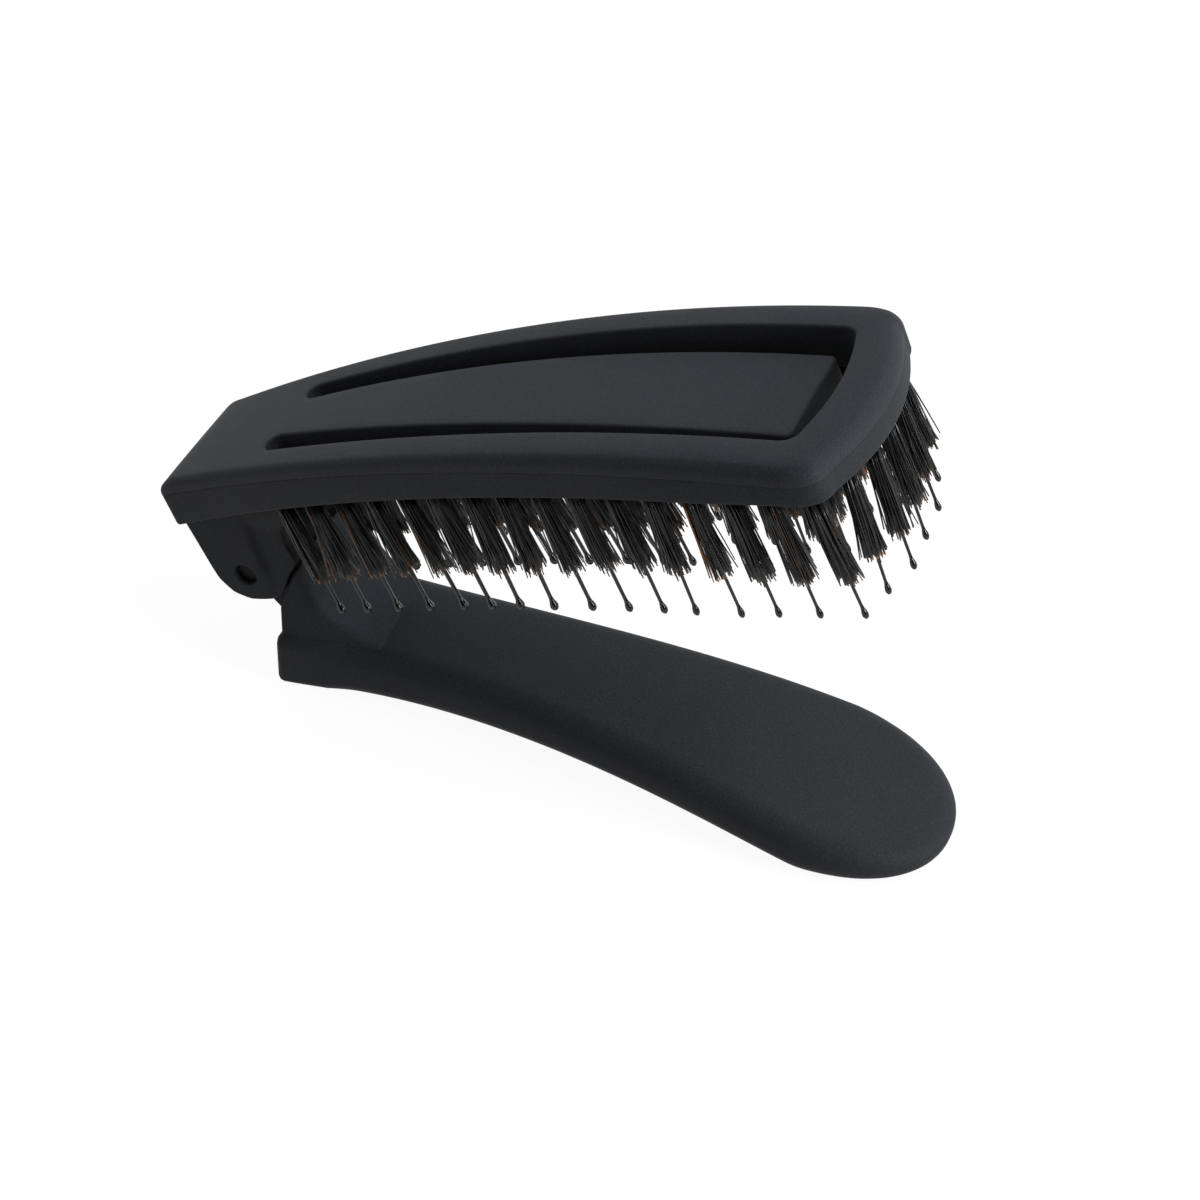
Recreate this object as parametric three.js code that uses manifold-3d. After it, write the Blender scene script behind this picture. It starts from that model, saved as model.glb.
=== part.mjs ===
import * as THREE from 'three';
import { mergeVertices } from 'three/addons/utils/BufferGeometryUtils.js';
import Module from 'manifold-3d';

// Folding hair brush in millimetres, +Z up: a head with ball-tipped pins and hair tufts, over its handle.
// Head pieces are drawn along the head: x from the hinge pin to the tip, y to the far side, z up its back.
// Handle pieces are drawn with the hinge pin at x = 0, z = 0, and the object stands on the handle's two feet.

// Pose
const openingAngle = 24.3; // degrees from the handle's line to the head's

// Head
const headLength = 117.6;
const headBehindPin = 8.2;
const headHalfWidthAtHinge = 10.6;
const headHalfWidthAtTip = 20.1;
const headSideBulge = 2;
const headArch = 5.4;
const crownRise = 5;
const cornerSpan = 4.6;
const pinToUnderside = 10.65;
const headThicknessAtHinge = 7.2;
const headThicknessAtTip = 6.2;
const cornerPull = 0.25; // share of the crown's rise at which a tip corner turns
const shellThickness = 2.2;
const shellEdgeRound = 1.3;
const partingGap = 0.3;
const lowerEdgeChamfer = 0.5;

// Slot and tongue in the head
const slotWidth = 3.8;
const slotWidthAtTip = 4.1;
const slotStart = 12.9;
const frameWidthAtHinge = 4.7;
const frameWidthAtTip = 6.7;
const frameWidthAtCrown = 6.3;
const slotTipBow = 1.2;
const slotCornerSpan = 2.4;
const tongueCorner = 0.8;
const tongueSink = 1.4;

// Bristle backings, tufts and pins
const pocketDepth = 2.4;
const pocketWall = 0.8;
const backingGap = 0.25;
const backingStart = 12;
const backingSink = 0.2;
const cornerCutShare = 0.35; // loss of a side strip's width along the rounded corner
const stripEndGap = 0.3;
const tuftPitch = 5.93;
const tuftColumns = 16;
const firstTuft = 13.8;
const tuftMargin = 1.3;
const rowPitch = 4.7;
const tuftGap = 0.4;
const crownTufts = 4;
const crownTuftShare = 0.75; // of the tip strip's half length, where its outer tufts stand
const tuftRootRadius = 0.72;
const tuftLength = 14.2;
const hairsPerTuft = 4;
const hairRootRadius = 0.32;
const hairTipRadius = 0.45;
const pinReach = 21;
const pinShaftRadius = 0.32;
const pinBallRadius = 0.72;
const rootDepth = 0.7;
const tuftTurn = 0.2; // radians, largest turn of one tuft against the next
const tuftTurnRate = 7;

// Hinge
const pinRadius = 1.7;
const earHoleClearance = 0.12;
const pinSink = 1.2;
const earThickness = 3;
const earInset = 0.8;
const earRadius = 4.95;
const earArcEnd = 260; // degrees, where the round behind the pin meets the flat foot
const earHeelReach = 3;
const earFrontReach = 10.55;
const earFrontHeight = 2.35;
const earFrontTop = 11.2;
const earBackTop = 6.3;
const earRootDepth = 1;
const washerThickness = 0.6;
const washerRadius = 4.1;
const sideClearance = 0.3;
const bushWall = 0.9;
const bushRunningGap = 0.15;
const bushSeatGap = 0.15;
const knuckleRadius = 4.4;
const towerClearance = 0.7;
const towerFront = 35; // degrees from the handle's line, round the pin
const towerBack = 78;

// Handle
const handleStart = 4.8;
const handleEnd = 112.5;
const handleEndSpan = 20.4;
const handleHalfWidthAtHinge = 12.1;
const handleWaist = 8.3;
const handleSwell = 13.8;
const handleHalfWidthAtEnd = 15.9;
const faceBelowPin = 11.1;
const faceRise = 5.2;
const faceFall = 4.3;
const faceEndDrop = 4.9;
const pinAboveFloor = 20.2;
const undersideArch = 3.6;
const hingeFootEnd = 13.2;
const endFootStart = 94.2;
const handleEdgeRound = 3.4;
const handleWall = 2;
const roundShare = 0.45; // an edge round's largest share of the thickness

// Hinge block on the handle
const blockSet = 0.8;
const blockHalfWidth = 10.6;
const blockFootHalfWidth = 7.4;
const blockCheek = 2;
const shoulderFoot = [0, -4.2]; // from the block's start, height from the pin
const shoulderMiddle = [1.35, 1.1];
const shoulderTop = [3.55, 5.9];
const rampTopPull = [1.4, -8];
const rampFootPull = [-7.5, 1.2];
const rampSteps = 4;
const rampFoot = 21.6;
const rampSink = 0.1;
const towerRoot = 1;
const neckStart = -1.5;
const neckHeight = 11;
const blockDepth = 2.9;
const blockGap = 0.3;
const tangRoot = 4;
const tangLength = 20;
const tangHalfWidth = 4.6;
const tangThickness = 1.9;
const tangScrewInset = 5.4;

// Cover and screws
const coverInset = 4;
const coverThickness = 1.5;
const coverFromHinge = 10.2;
const coverFromEnd = 11;
const coverLedge = 1.2;
const coverSink = 0.2;
const coverScrewFromHinge = 32;
const coverScrewFromEnd = 17;
const coverScrewSeat = 0.9;
const coverScrewHeadHeight = 0.6;
const screwRadius = 1;
const screwHeadRadius = 2;
const screwHeadHeight = 1.1;
const screwGap = 0.15;
const screwTipGap = 0.3;
const bossRadius = 2.7;
const bossRoot = 0.5;

// Smoothness of the round shapes
const sideSteps = 9;
const cornerSteps = 4;
const crownSteps = 4;
const endSteps = 7;
const slotEndSteps = 6;
const earSteps = 4;
const towerSteps = 3;
const roundSegments = 24;
const mitreLimit = 0.5;
const cutOverrun = 1; // how far a cutting body runs past the surface it cuts
const cutSlack = 0.02;

const wasm = await Module();
wasm.setup();

const headTip = headLength - headBehindPin;
const crownStart = headTip - crownRise;

function lerp(from, to, share) {
  return from + (to - from) * share;
}

function cubic(a, b, c, d, t) {
  const s = 1 - t;
  return a * s ** 3 + 3 * b * s * s * t + 3 * c * s * t * t + d * t ** 3;
}

// Heights and widths along the head
function headShare(u) {
  return (u + headBehindPin) / headLength;
}

function headHalfWidth(u) {
  const s = headShare(u);
  return lerp(headHalfWidthAtHinge, headHalfWidthAtTip, s) + headSideBulge * 4 * s * (1 - s);
}

function headUnder(u) {
  const s = headShare(u);
  return pinToUnderside + headArch * 4 * s * (1 - s);
}

function headTop(u) {
  return headUnder(u) + lerp(headThicknessAtHinge, headThicknessAtTip, headShare(u));
}

function slotOuter(u) {
  return headHalfWidth(u) - lerp(frameWidthAtHinge, frameWidthAtTip, headShare(u));
}

function tongueHalfWidth(u) {
  return slotOuter(u) - slotWidth;
}

const slotTip = headTip - frameWidthAtCrown;
const tongueTip = slotTip - slotWidthAtTip;

// Heights and widths along the handle, whose underside is flat under the hinge and under the free end
const footStart = handleStart + handleEdgeRound;
const footFlatEnd = hingeFootEnd - cutSlack;
const footCentre = (footStart + hingeFootEnd) / 2;

function handleFace(x) {
  const t = (x - handleStart) / (handleEnd - handleStart);
  const faceAtStart = -faceBelowPin;
  return cubic(faceAtStart, faceAtStart + faceRise, faceAtStart + faceFall, faceAtStart - faceEndDrop, t);
}

function handleUnder(x) {
  const t = THREE.MathUtils.clamp((x - hingeFootEnd) / (endFootStart - hingeFootEnd), 0, 1);
  return -pinAboveFloor + undersideArch * 4 * t * (1 - t);
}

function handleHalfWidth(x) {
  const t = (x - handleStart) / (handleEnd - handleEndSpan - handleStart);
  return cubic(handleHalfWidthAtHinge, handleWaist, handleSwell, handleHalfWidthAtEnd, t);
}

function handleRound(x) {
  return Math.min(handleEdgeRound, roundShare * (handleFace(x) - handleUnder(x)));
}

// Closed solids from points and triangles
function solidFrom(points, triangles) {
  const geometry = new THREE.BufferGeometry();
  geometry.setAttribute('position', new THREE.Float32BufferAttribute(points.flat(), 3));
  geometry.setIndex(triangles.flat());
  return solidOf(geometry);
}

function signedVolume(position, index) {
  const corners = [new THREE.Vector3(), new THREE.Vector3(), new THREE.Vector3()];
  let volume = 0;
  for (let i = 0; i < index.count; i += 3) {
    corners.forEach((corner, k) => corner.fromBufferAttribute(position, index.getX(i + k)));
    volume += corners[0].dot(corners[1].cross(corners[2])) / 6;
  }
  return volume;
}

function solidOf(geometry) {
  geometry.deleteAttribute('normal');
  geometry.deleteAttribute('uv');
  const merged = mergeVertices(geometry, 1e-5);
  const triVerts = Uint32Array.from(merged.index.array);
  if (signedVolume(merged.attributes.position, merged.index) < 0) {
    for (let i = 0; i < triVerts.length; i += 3) {
      [triVerts[i + 1], triVerts[i + 2]] = [triVerts[i + 2], triVerts[i + 1]];
    }
  }
  const vertProperties = Float32Array.from(merged.attributes.position.array);
  return new wasm.Manifold(new wasm.Mesh({ numProp: 3, vertProperties, triVerts }));
}

function geometryOf(solid) {
  const mesh = solid.getMesh();
  const geometry = new THREE.BufferGeometry();
  geometry.setAttribute('position', new THREE.BufferAttribute(mesh.vertProperties, 3));
  geometry.setIndex(new THREE.BufferAttribute(mesh.triVerts, 1));
  geometry.computeVertexNormals();
  return geometry;
}

function shapeOf(points) {
  return new THREE.Shape(points.map(([x, y]) => new THREE.Vector2(x, y)));
}

function upright(points, low, high) {
  const geometry = new THREE.ExtrudeGeometry(shapeOf(points), { depth: high - low, bevelEnabled: false });
  geometry.translate(0, 0, low);
  return solidOf(geometry);
}

function sideways(points, low, high) {
  const geometry = new THREE.ExtrudeGeometry(shapeOf(points), { depth: high - low, bevelEnabled: false });
  geometry.rotateX(Math.PI / 2);
  geometry.translate(0, high, 0);
  return solidOf(geometry);
}

function block(low, high) {
  const geometry = new THREE.BoxGeometry(high[0] - low[0], high[1] - low[1], high[2] - low[2]);
  geometry.translate((low[0] + high[0]) / 2, (low[1] + high[1]) / 2, (low[2] + high[2]) / 2);
  return solidOf(geometry);
}

function crossRod(radius, low, high) {
  const geometry = new THREE.CylinderGeometry(radius, radius, high - low, roundSegments);
  geometry.translate(0, (low + high) / 2, 0);
  return solidOf(geometry);
}

function post(radius, x, low, high) {
  const geometry = new THREE.CylinderGeometry(radius, radius, high - low, roundSegments);
  geometry.rotateX(Math.PI / 2);
  geometry.translate(x, 0, (low + high) / 2);
  return solidOf(geometry);
}

// Outlines run from the hinge end along the far side to the middle of the tip, and the near side mirrors them
function normalOf(from, to) {
  return new THREE.Vector2(from[1] - to[1], to[0] - from[0]).normalize();
}

function insetOutline(outline, inset) {
  const last = outline.length - 1;
  return outline.map((point, i) => {
    const before = i === 0 ? [point[0], 0] : outline[i - 1];
    const after = i === last ? [outline[last - 1][0], -outline[last - 1][1]] : outline[i + 1];
    const first = normalOf(before, point);
    const middle = first.clone().add(normalOf(point, after)).normalize();
    const reach = inset / Math.max(mitreLimit, middle.dot(first));
    return [point[0] - middle.x * reach, i === last ? 0 : point[1] - middle.y * reach];
  });
}

function mirrored(outline) {
  const near = outline.slice(0, -1).reverse().map(([x, y]) => [x, -y]);
  return [...outline, ...near];
}

// Stacks rings of one outline, each with its own inset and height, and closes the stack below and above
function layeredSlab(outline, layers) {
  const count = outline.length;
  const ringSize = 2 * count - 1;
  const points = [];
  const triangles = [];
  for (const layer of layers) {
    for (const [x, y] of mirrored(insetOutline(outline, layer.inset))) {
      points.push([x, y, layer.height(x)]);
    }
  }
  const quad = (a, b, c, d) => triangles.push([a, b, c], [a, c, d]);
  for (let k = 0; k < layers.length - 1; k += 1) {
    for (let i = 0; i < ringSize; i += 1) {
      const next = (i + 1) % ringSize;
      const low = k * ringSize;
      quad(low + i, low + next, low + ringSize + next, low + ringSize + i);
    }
  }
  const cap = (start, flip) => {
    for (let i = 0; i < count - 2; i += 1) {
      const corners = [i, ringSize - 1 - i, ringSize - 2 - i, i + 1].map((corner) => start + corner);
      quad(...(flip ? corners.reverse() : corners));
    }
    const end = [count - 2, count, count - 1].map((corner) => start + corner);
    triangles.push(flip ? end.reverse() : end);
  };
  cap(0, false);
  cap((layers.length - 1) * ringSize, true);
  return solidFrom(points, triangles);
}

function lowerAndUpperRounds(round, under, face) {
  const layers = [];
  for (const turn of [0, 45, 90]) {
    const angle = THREE.MathUtils.degToRad(turn);
    layers.push({
      inset: round * (1 - Math.sin(angle)),
      height: (x) => under(x) + handleRound(x) * (1 - Math.cos(angle)),
    });
  }
  for (const turn of [90, 45, 0]) {
    const angle = THREE.MathUtils.degToRad(turn);
    layers.push({
      inset: round * (1 - Math.sin(angle)),
      height: (x) => face(x) - handleRound(x) * (1 - Math.cos(angle)),
    });
  }
  return layers;
}

// A plank follows pairs of plan points and lies between two height functions
function plank(pairs, lower, upper) {
  const points = [];
  const triangles = [];
  for (const [inner, outer] of pairs) {
    points.push([...inner, lower(inner[0])], [...outer, lower(outer[0])]);
    points.push([...outer, upper(outer[0])], [...inner, upper(inner[0])]);
  }
  for (let k = 0; k < pairs.length - 1; k += 1) {
    for (let i = 0; i < 4; i += 1) {
      const next = (i + 1) % 4;
      const low = 4 * k;
      triangles.push([low + i, low + next, low + 4 + next], [low + i, low + 4 + next, low + 4 + i]);
    }
  }
  const end = 4 * (pairs.length - 1);
  triangles.push([0, 2, 1], [0, 3, 2], [end, end + 1, end + 2], [end, end + 2, end + 3]);
  return solidFrom(points, triangles);
}

function steps(from, to, count) {
  return Array.from({ length: count + 1 }, (_, i) => lerp(from, to, i / count));
}

// Head outline: bulged sides, rounded corners and an arched tip
function crownAt(y) {
  return crownStart + crownRise * (1 - (y / headHalfWidthAtTip) ** 2);
}

function headOutline() {
  const sideEnd = crownStart - cornerSpan;
  const outline = steps(-headBehindPin, sideEnd, sideSteps).map((u) => [u, headHalfWidth(u)]);
  const crownSide = headHalfWidthAtTip - cornerSpan;
  const from = [sideEnd, headHalfWidth(sideEnd)];
  const through = [crownStart + crownRise * cornerPull, headHalfWidthAtTip];
  const to = [crownAt(crownSide), crownSide];
  for (let i = 1; i <= cornerSteps; i += 1) {
    const t = i / cornerSteps;
    outline.push([0, 1].map((k) => from[k] * (1 - t) ** 2 + 2 * through[k] * t * (1 - t) + to[k] * t * t));
  }
  for (let i = 1; i <= crownSteps; i += 1) {
    const y = crownSide * (1 - i / crownSteps);
    outline.push([crownAt(y), y]);
  }
  return outline;
}

// U-shaped slot seen from above, from the near arm's start round the tip to the far arm's start
function slotTipAt(y) {
  return slotTip - slotTipBow * (y / tongueHalfWidth(tongueTip)) ** 2;
}

function slotPlan() {
  const middle = slotStart + slotWidth / 2;
  const cornerStart = slotTip - slotTipBow - slotCornerSpan;
  const cornerSide = slotOuter(cornerStart) - slotCornerSpan;
  const cornerReach = slotCornerSpan * Math.SQRT1_2;
  const outer = steps(middle, cornerStart, sideSteps).map((u) => [u, slotOuter(u)]);
  outer.push([cornerStart + cornerReach, cornerSide + cornerReach]);
  outer.push([slotTipAt(cornerSide), cornerSide], [slotTipAt(cornerSide / 2), cornerSide / 2], [slotTip, 0]);
  const inner = [[tongueTip, tongueHalfWidth(tongueTip) - tongueCorner]];
  inner.push(...steps(tongueTip - tongueCorner, middle, sideSteps).map((u) => [u, tongueHalfWidth(u)]));
  const armCentre = (slotOuter(middle) + tongueHalfWidth(middle)) / 2;
  const end = steps(Math.PI, 0, slotEndSteps).slice(1, -1).map((angle) => {
    return [middle - (slotWidth / 2) * Math.sin(angle), armCentre + (slotWidth / 2) * Math.cos(angle)];
  });
  const farHalf = [...inner, ...end];
  const nearHalf = farHalf.slice().reverse().map(([u, y]) => [u, -y]);
  return [...outer.slice().reverse(), ...farHalf.slice().reverse(), ...nearHalf.slice().reverse(),
    ...outer.slice(0, -1).map(([u, y]) => [u, -y])];
}

function slotCutter() {
  return upright(slotPlan(), 0, 2 * pinToUnderside + headArch + headThicknessAtHinge);
}

// Tongue: its back lies a little below the frame's, more towards its free end
function tongueSinkCutter() {
  const half = slotWidth / 2;
  const outline = steps(slotStart, tongueTip + half, sideSteps).map((u) => [u, tongueHalfWidth(u) + half]);
  outline.push([tongueTip + half + cutSlack, 0]);
  const sink = (u) => tongueSink * Math.max(0, (u - slotStart) / (tongueTip - slotStart)) - cutSlack;
  return layeredSlab(outline, [
    { inset: 0, height: (u) => headTop(u) - sink(u) },
    { inset: 0, height: (u) => headTop(u) + headThicknessAtHinge },
  ]);
}

function headShell() {
  const bottom = (u) => headTop(u) - shellThickness;
  const middle = shellEdgeRound * (1 - Math.SQRT1_2);
  const slab = layeredSlab(headOutline(), [
    { inset: 0, height: bottom },
    { inset: 0, height: (u) => headTop(u) - shellEdgeRound },
    { inset: middle, height: (u) => headTop(u) - middle },
    { inset: shellEdgeRound, height: headTop },
  ]);
  return slab.subtract(slotCutter()).subtract(tongueSinkCutter());
}

const sideStripEnd = crownStart - stripEndGap;

// Room that the rounded corner takes from a side strip's width
function cornerCut(u) {
  return cornerCutShare * Math.max(0, u - (crownStart - cornerSpan));
}

// Backings: two side strips, a strip behind the crown and a pad under the tongue
function sideStripPairs(side, grow) {
  const inner = (u) => slotOuter(u) + pocketWall + backingGap - grow;
  const outer = (u) => headHalfWidth(u) - pocketWall - backingGap + grow;
  return steps(backingStart - grow, sideStripEnd + grow, sideSteps).map((u) => {
    return [[u, side * inner(u)], [u, side * (outer(u) - cornerCut(u))]];
  });
}

const crownStripReach = slotOuter(slotTip) - pocketWall - backingGap;

function crownStripPairs(grow) {
  const reach = crownStripReach + grow;
  return steps(-reach, reach, 2 * crownSteps).map((y) => {
    const inner = slotTip + pocketWall + backingGap - grow - slotTipBow * (y / reach) ** 2;
    const outer = crownAt(y) - pocketWall - backingGap + grow;
    return [[inner, y], [outer, y]];
  });
}

function padPairs(grow) {
  const half = (u) => tongueHalfWidth(u) - pocketWall - backingGap + grow;
  const end = tongueTip - pocketWall - backingGap + grow;
  return steps(backingStart + slotWidth - grow, end, sideSteps).map((u) => [[u, -half(u)], [u, half(u)]]);
}

const backingLow = (u) => headUnder(u) + backingSink;
const backingHigh = (u) => headUnder(u) + pocketDepth - backingGap;

function backing(pairs) {
  return plank(pairs, backingLow, backingHigh);
}

function pocket(pairs) {
  return plank(pairs, (u) => headUnder(u) - cutOverrun, (u) => headUnder(u) + pocketDepth);
}

// Tufts stand on the backings: hairs that fan out round a straight pin with a ball tip
const pinSides = 4;
const hairSides = 3;
const tuftTipRadius = (Math.min(tuftPitch, rowPitch) - tuftGap) / 2 - hairTipRadius;

function ring(centre, radius, sides, turn) {
  return Array.from({ length: sides }, (_, i) => {
    const angle = turn + (2 * Math.PI * i) / sides;
    return [centre[0] + radius * Math.cos(angle), centre[1] + radius * Math.sin(angle), centre[2]];
  });
}

function strand(rings, apex) {
  const sides = rings[0].length;
  const points = rings.flat();
  const triangles = [];
  for (let k = 0; k < rings.length - 1; k += 1) {
    for (let i = 0; i < sides; i += 1) {
      const a = k * sides + i;
      const b = k * sides + ((i + 1) % sides);
      triangles.push([a, b, b + sides], [a, b + sides, a + sides]);
    }
  }
  const last = (rings.length - 1) * sides;
  for (let i = 1; i < sides - 1; i += 1) {
    triangles.push([0, i + 1, i]);
    if (!apex) {
      triangles.push([last, last + i, last + i + 1]);
    }
  }
  if (apex) {
    points.push(apex);
    for (let i = 0; i < sides; i += 1) {
      triangles.push([last + i, last + ((i + 1) % sides), points.length - 1]);
    }
  }
  return solidFrom(points, triangles);
}

function pinStrand(u, y) {
  const base = backingLow(u);
  const tip = headUnder(u) - pinReach;
  const at = (z, radius) => ring([u, y, z], radius, pinSides, 0);
  const shaft = [at(base + rootDepth, pinShaftRadius), at(tip + 2 * pinBallRadius, pinShaftRadius)];
  return strand([...shaft, at(tip + pinBallRadius, pinBallRadius)], [u, y, tip]);
}

function hairStrand(u, y, angle) {
  const base = backingLow(u);
  const place = (radius, z) => [u + radius * Math.cos(angle), y + radius * Math.sin(angle), z];
  return strand([
    ring(place(tuftRootRadius, base + rootDepth), hairRootRadius, hairSides, angle),
    ring(place(tuftTipRadius, headUnder(u) - tuftLength), hairTipRadius, hairSides, angle),
  ]);
}

function tufted(pairs, places) {
  let field = backing(pairs);
  places.forEach(([u, y], index) => {
    field = field.add(pinStrand(u, y));
    for (let i = 0; i < hairsPerTuft; i += 1) {
      const turn = tuftTurn * Math.sin(tuftTurnRate * index);
      field = field.add(hairStrand(u, y, (2 * Math.PI * (i + 0.5)) / hairsPerTuft + turn));
    }
  });
  return field;
}

const columns = Array.from({ length: tuftColumns }, (_, i) => firstTuft + i * tuftPitch);

function sideTufts(side) {
  const lastPlace = sideStripEnd - tuftMargin;
  return columns.map((column) => {
    const u = Math.min(column, lastPlace);
    return [u, side * (slotOuter(u) + headHalfWidth(u) - cornerCut(u)) / 2];
  });
}

function crownTuftPlaces() {
  const reach = crownTuftShare * crownStripReach;
  return steps(-reach, reach, crownTufts - 1).map((y) => {
    const inner = slotTip + pocketWall + backingGap - slotTipBow * (y / crownStripReach) ** 2;
    return [(inner + crownAt(y) - pocketWall - backingGap) / 2, y];
  });
}

function padTufts() {
  const fits = (u) => u > backingStart + slotWidth + tuftMargin && u < tongueTip - pocketWall - tuftMargin;
  return columns.filter(fits).flatMap((u) => {
    const half = tongueHalfWidth(u) - pocketWall - backingGap - tuftMargin;
    const rows = Math.floor((2 * half) / rowPitch);
    return steps(-half, half, Math.max(1, rows)).map((y) => [u, y]);
  });
}

// Head body: walls under the shell, pockets for the backings and two ears for the pin
const earOuter = headHalfWidth(0) - earInset;
const earInner = earOuter - earThickness;

function earProfile() {
  const root = pinToUnderside + earRootDepth;
  const points = [[earFrontTop, root], [-earBackTop, root]];
  for (const turn of steps(180, earArcEnd, earSteps)) {
    const angle = THREE.MathUtils.degToRad(turn);
    points.push([earRadius * Math.cos(angle), earRadius * Math.sin(angle)]);
  }
  points.push([earHeelReach, -earRadius], [earFrontReach, earFrontHeight]);
  return points;
}

function headBody() {
  const top = (u) => headTop(u) - shellThickness - partingGap;
  let body = layeredSlab(headOutline(), [
    { inset: lowerEdgeChamfer, height: headUnder },
    { inset: 0, height: (u) => headUnder(u) + lowerEdgeChamfer },
    { inset: 0, height: top },
  ]);
  body = body.subtract(slotCutter());
  const rooms = [sideStripPairs(-1, backingGap), sideStripPairs(1, backingGap), crownStripPairs(backingGap),
    padPairs(backingGap)];
  for (const pairs of rooms) {
    body = body.subtract(pocket(pairs));
  }
  for (const low of [-earOuter, earInner]) {
    body = body.add(sideways(earProfile(), low, low + earThickness));
  }
  return body.subtract(crossRod(pinRadius + earHoleClearance, -earOuter - cutOverrun, earOuter + cutOverrun));
}

// Hinge parts on the pin's axis
const knuckleHalfWidth = earInner - washerThickness - 2 * sideClearance;
const bushOuter = pinRadius + bushRunningGap + bushWall;

function hollowRod(outer, inner, low, high) {
  return crossRod(outer, low, high).subtract(crossRod(inner, low - cutOverrun, high + cutOverrun));
}

function hingePin() {
  return crossRod(pinRadius, -earOuter + pinSink, earOuter - pinSink);
}

function hingeBush() {
  return hollowRod(bushOuter, pinRadius + bushRunningGap, -knuckleHalfWidth, knuckleHalfWidth);
}

function washer(side) {
  const middle = side * (knuckleHalfWidth + sideClearance + washerThickness / 2);
  const half = washerThickness / 2;
  return hollowRod(washerRadius, pinRadius + bushRunningGap, middle - half, middle + half);
}

// Hinge block: a wedge whose ramp comes down to the handle's face, with a tower and knuckle between the ears
const blockStart = handleStart + blockSet;
const blockBottom = -faceBelowPin - blockDepth;
const towerRadius = pinToUnderside - towerClearance;

const tangEnd = rampFoot + tangLength;
const tangTop = blockBottom + tangThickness;
const tangScrewPlaces = [rampFoot + tangScrewInset, tangEnd - tangScrewInset];

function rampPoints() {
  const top = [blockStart + shoulderTop[0], shoulderTop[1]];
  const foot = [rampFoot, handleFace(rampFoot) - rampSink];
  const bend = (k, t) => cubic(top[k], top[k] + rampTopPull[k], foot[k] + rampFootPull[k], foot[k], t);
  return steps(0, 1, rampSteps).map((t) => [bend(0, t), bend(1, t)]);
}

function blockPlan(grow) {
  const far = [[rampFoot + grow, blockFootHalfWidth + grow], [blockStart + blockCheek, blockHalfWidth + grow],
    [blockStart - grow, blockHalfWidth + grow]];
  const near = far.map(([x, y]) => [x, -y]).reverse();
  return [...near, ...far];
}

function towerPoints() {
  const arc = steps(towerFront, towerBack, towerSteps).map((turn) => {
    const angle = THREE.MathUtils.degToRad(turn);
    return [towerRadius * Math.cos(angle), towerRadius * Math.sin(angle)];
  });
  const inside = blockStart + shoulderTop[0];
  return [[inside, blockBottom + towerRoot], [inside, shoulderTop[1] - towerRoot], ...arc, [0, 0],
    [neckStart, -knuckleRadius + cutSlack], [blockStart, -neckHeight], [blockStart, blockBottom + towerRoot]];
}

function hingeBlock() {
  const shoulder = [shoulderMiddle, shoulderFoot].map(([x, z]) => [blockStart + x, z]);
  const bottom = [[blockStart, blockBottom], [rampFoot, blockBottom]];
  const wedgeSide = [...bottom, ...rampPoints().reverse(), ...shoulder];
  let solid = sideways(wedgeSide, -blockHalfWidth, blockHalfWidth)
    .intersect(upright(blockPlan(0), blockBottom, shoulderTop[1] + cutOverrun));
  solid = solid.add(sideways(towerPoints(), -knuckleHalfWidth, knuckleHalfWidth));
  solid = solid.add(crossRod(knuckleRadius, -knuckleHalfWidth, knuckleHalfWidth));
  const tangLow = [blockStart + tangRoot, -tangHalfWidth, blockBottom];
  solid = solid.add(block(tangLow, [tangEnd, tangHalfWidth, tangTop]));
  for (const x of tangScrewPlaces) {
    solid = solid.subtract(post(screwRadius + screwGap, x, blockBottom - cutOverrun, tangTop + cutOverrun));
  }
  const bore = bushOuter + bushSeatGap;
  return solid.subtract(crossRod(bore, -knuckleHalfWidth - cutOverrun, knuckleHalfWidth + cutOverrun));
}

// Handle: a rounded paddle, hollow from below, that takes the hinge block, the cover and the screws' bosses
function handleOutline() {
  const sideEnd = handleEnd - handleEndSpan;
  const sides = [handleStart, ...steps(footFlatEnd, sideEnd, sideSteps)];
  const outline = sides.map((x) => [x, handleHalfWidth(x)]);
  for (const angle of steps(0, Math.PI / 2, endSteps).slice(1, -1)) {
    outline.push([sideEnd + handleEndSpan * Math.sin(angle), handleHalfWidthAtEnd * Math.cos(angle)]);
  }
  outline.push([handleEnd, 0]);
  return outline;
}

function coverPairs(inset, start, end) {
  const sideEnd = handleEnd - handleEndSpan;
  const half = (x) => {
    const past = Math.max(0, x - sideEnd) / handleEndSpan;
    return handleHalfWidth(Math.min(x, sideEnd)) * Math.sqrt(1 - past * past) - inset;
  };
  return steps(start, end, sideSteps).map((x) => [[x, -half(x)], [x, half(x)]]);
}

const coverStart = handleStart + coverFromHinge;
const coverEnd = handleEnd - coverFromEnd;
const coverScrewPlaces = [coverStart + coverScrewFromHinge, coverEnd - coverScrewFromEnd];
const coverTop = (x) => handleUnder(x) + coverThickness + coverSink;
const coverTopUnderBoss = (x) => Math.max(coverTop(x - bossRadius), coverTop(x + bossRadius));
const ceiling = (x) => handleFace(x) - handleWall;
const screwTipRoom = (x) => ceiling(x) + handleWall / 2;

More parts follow.
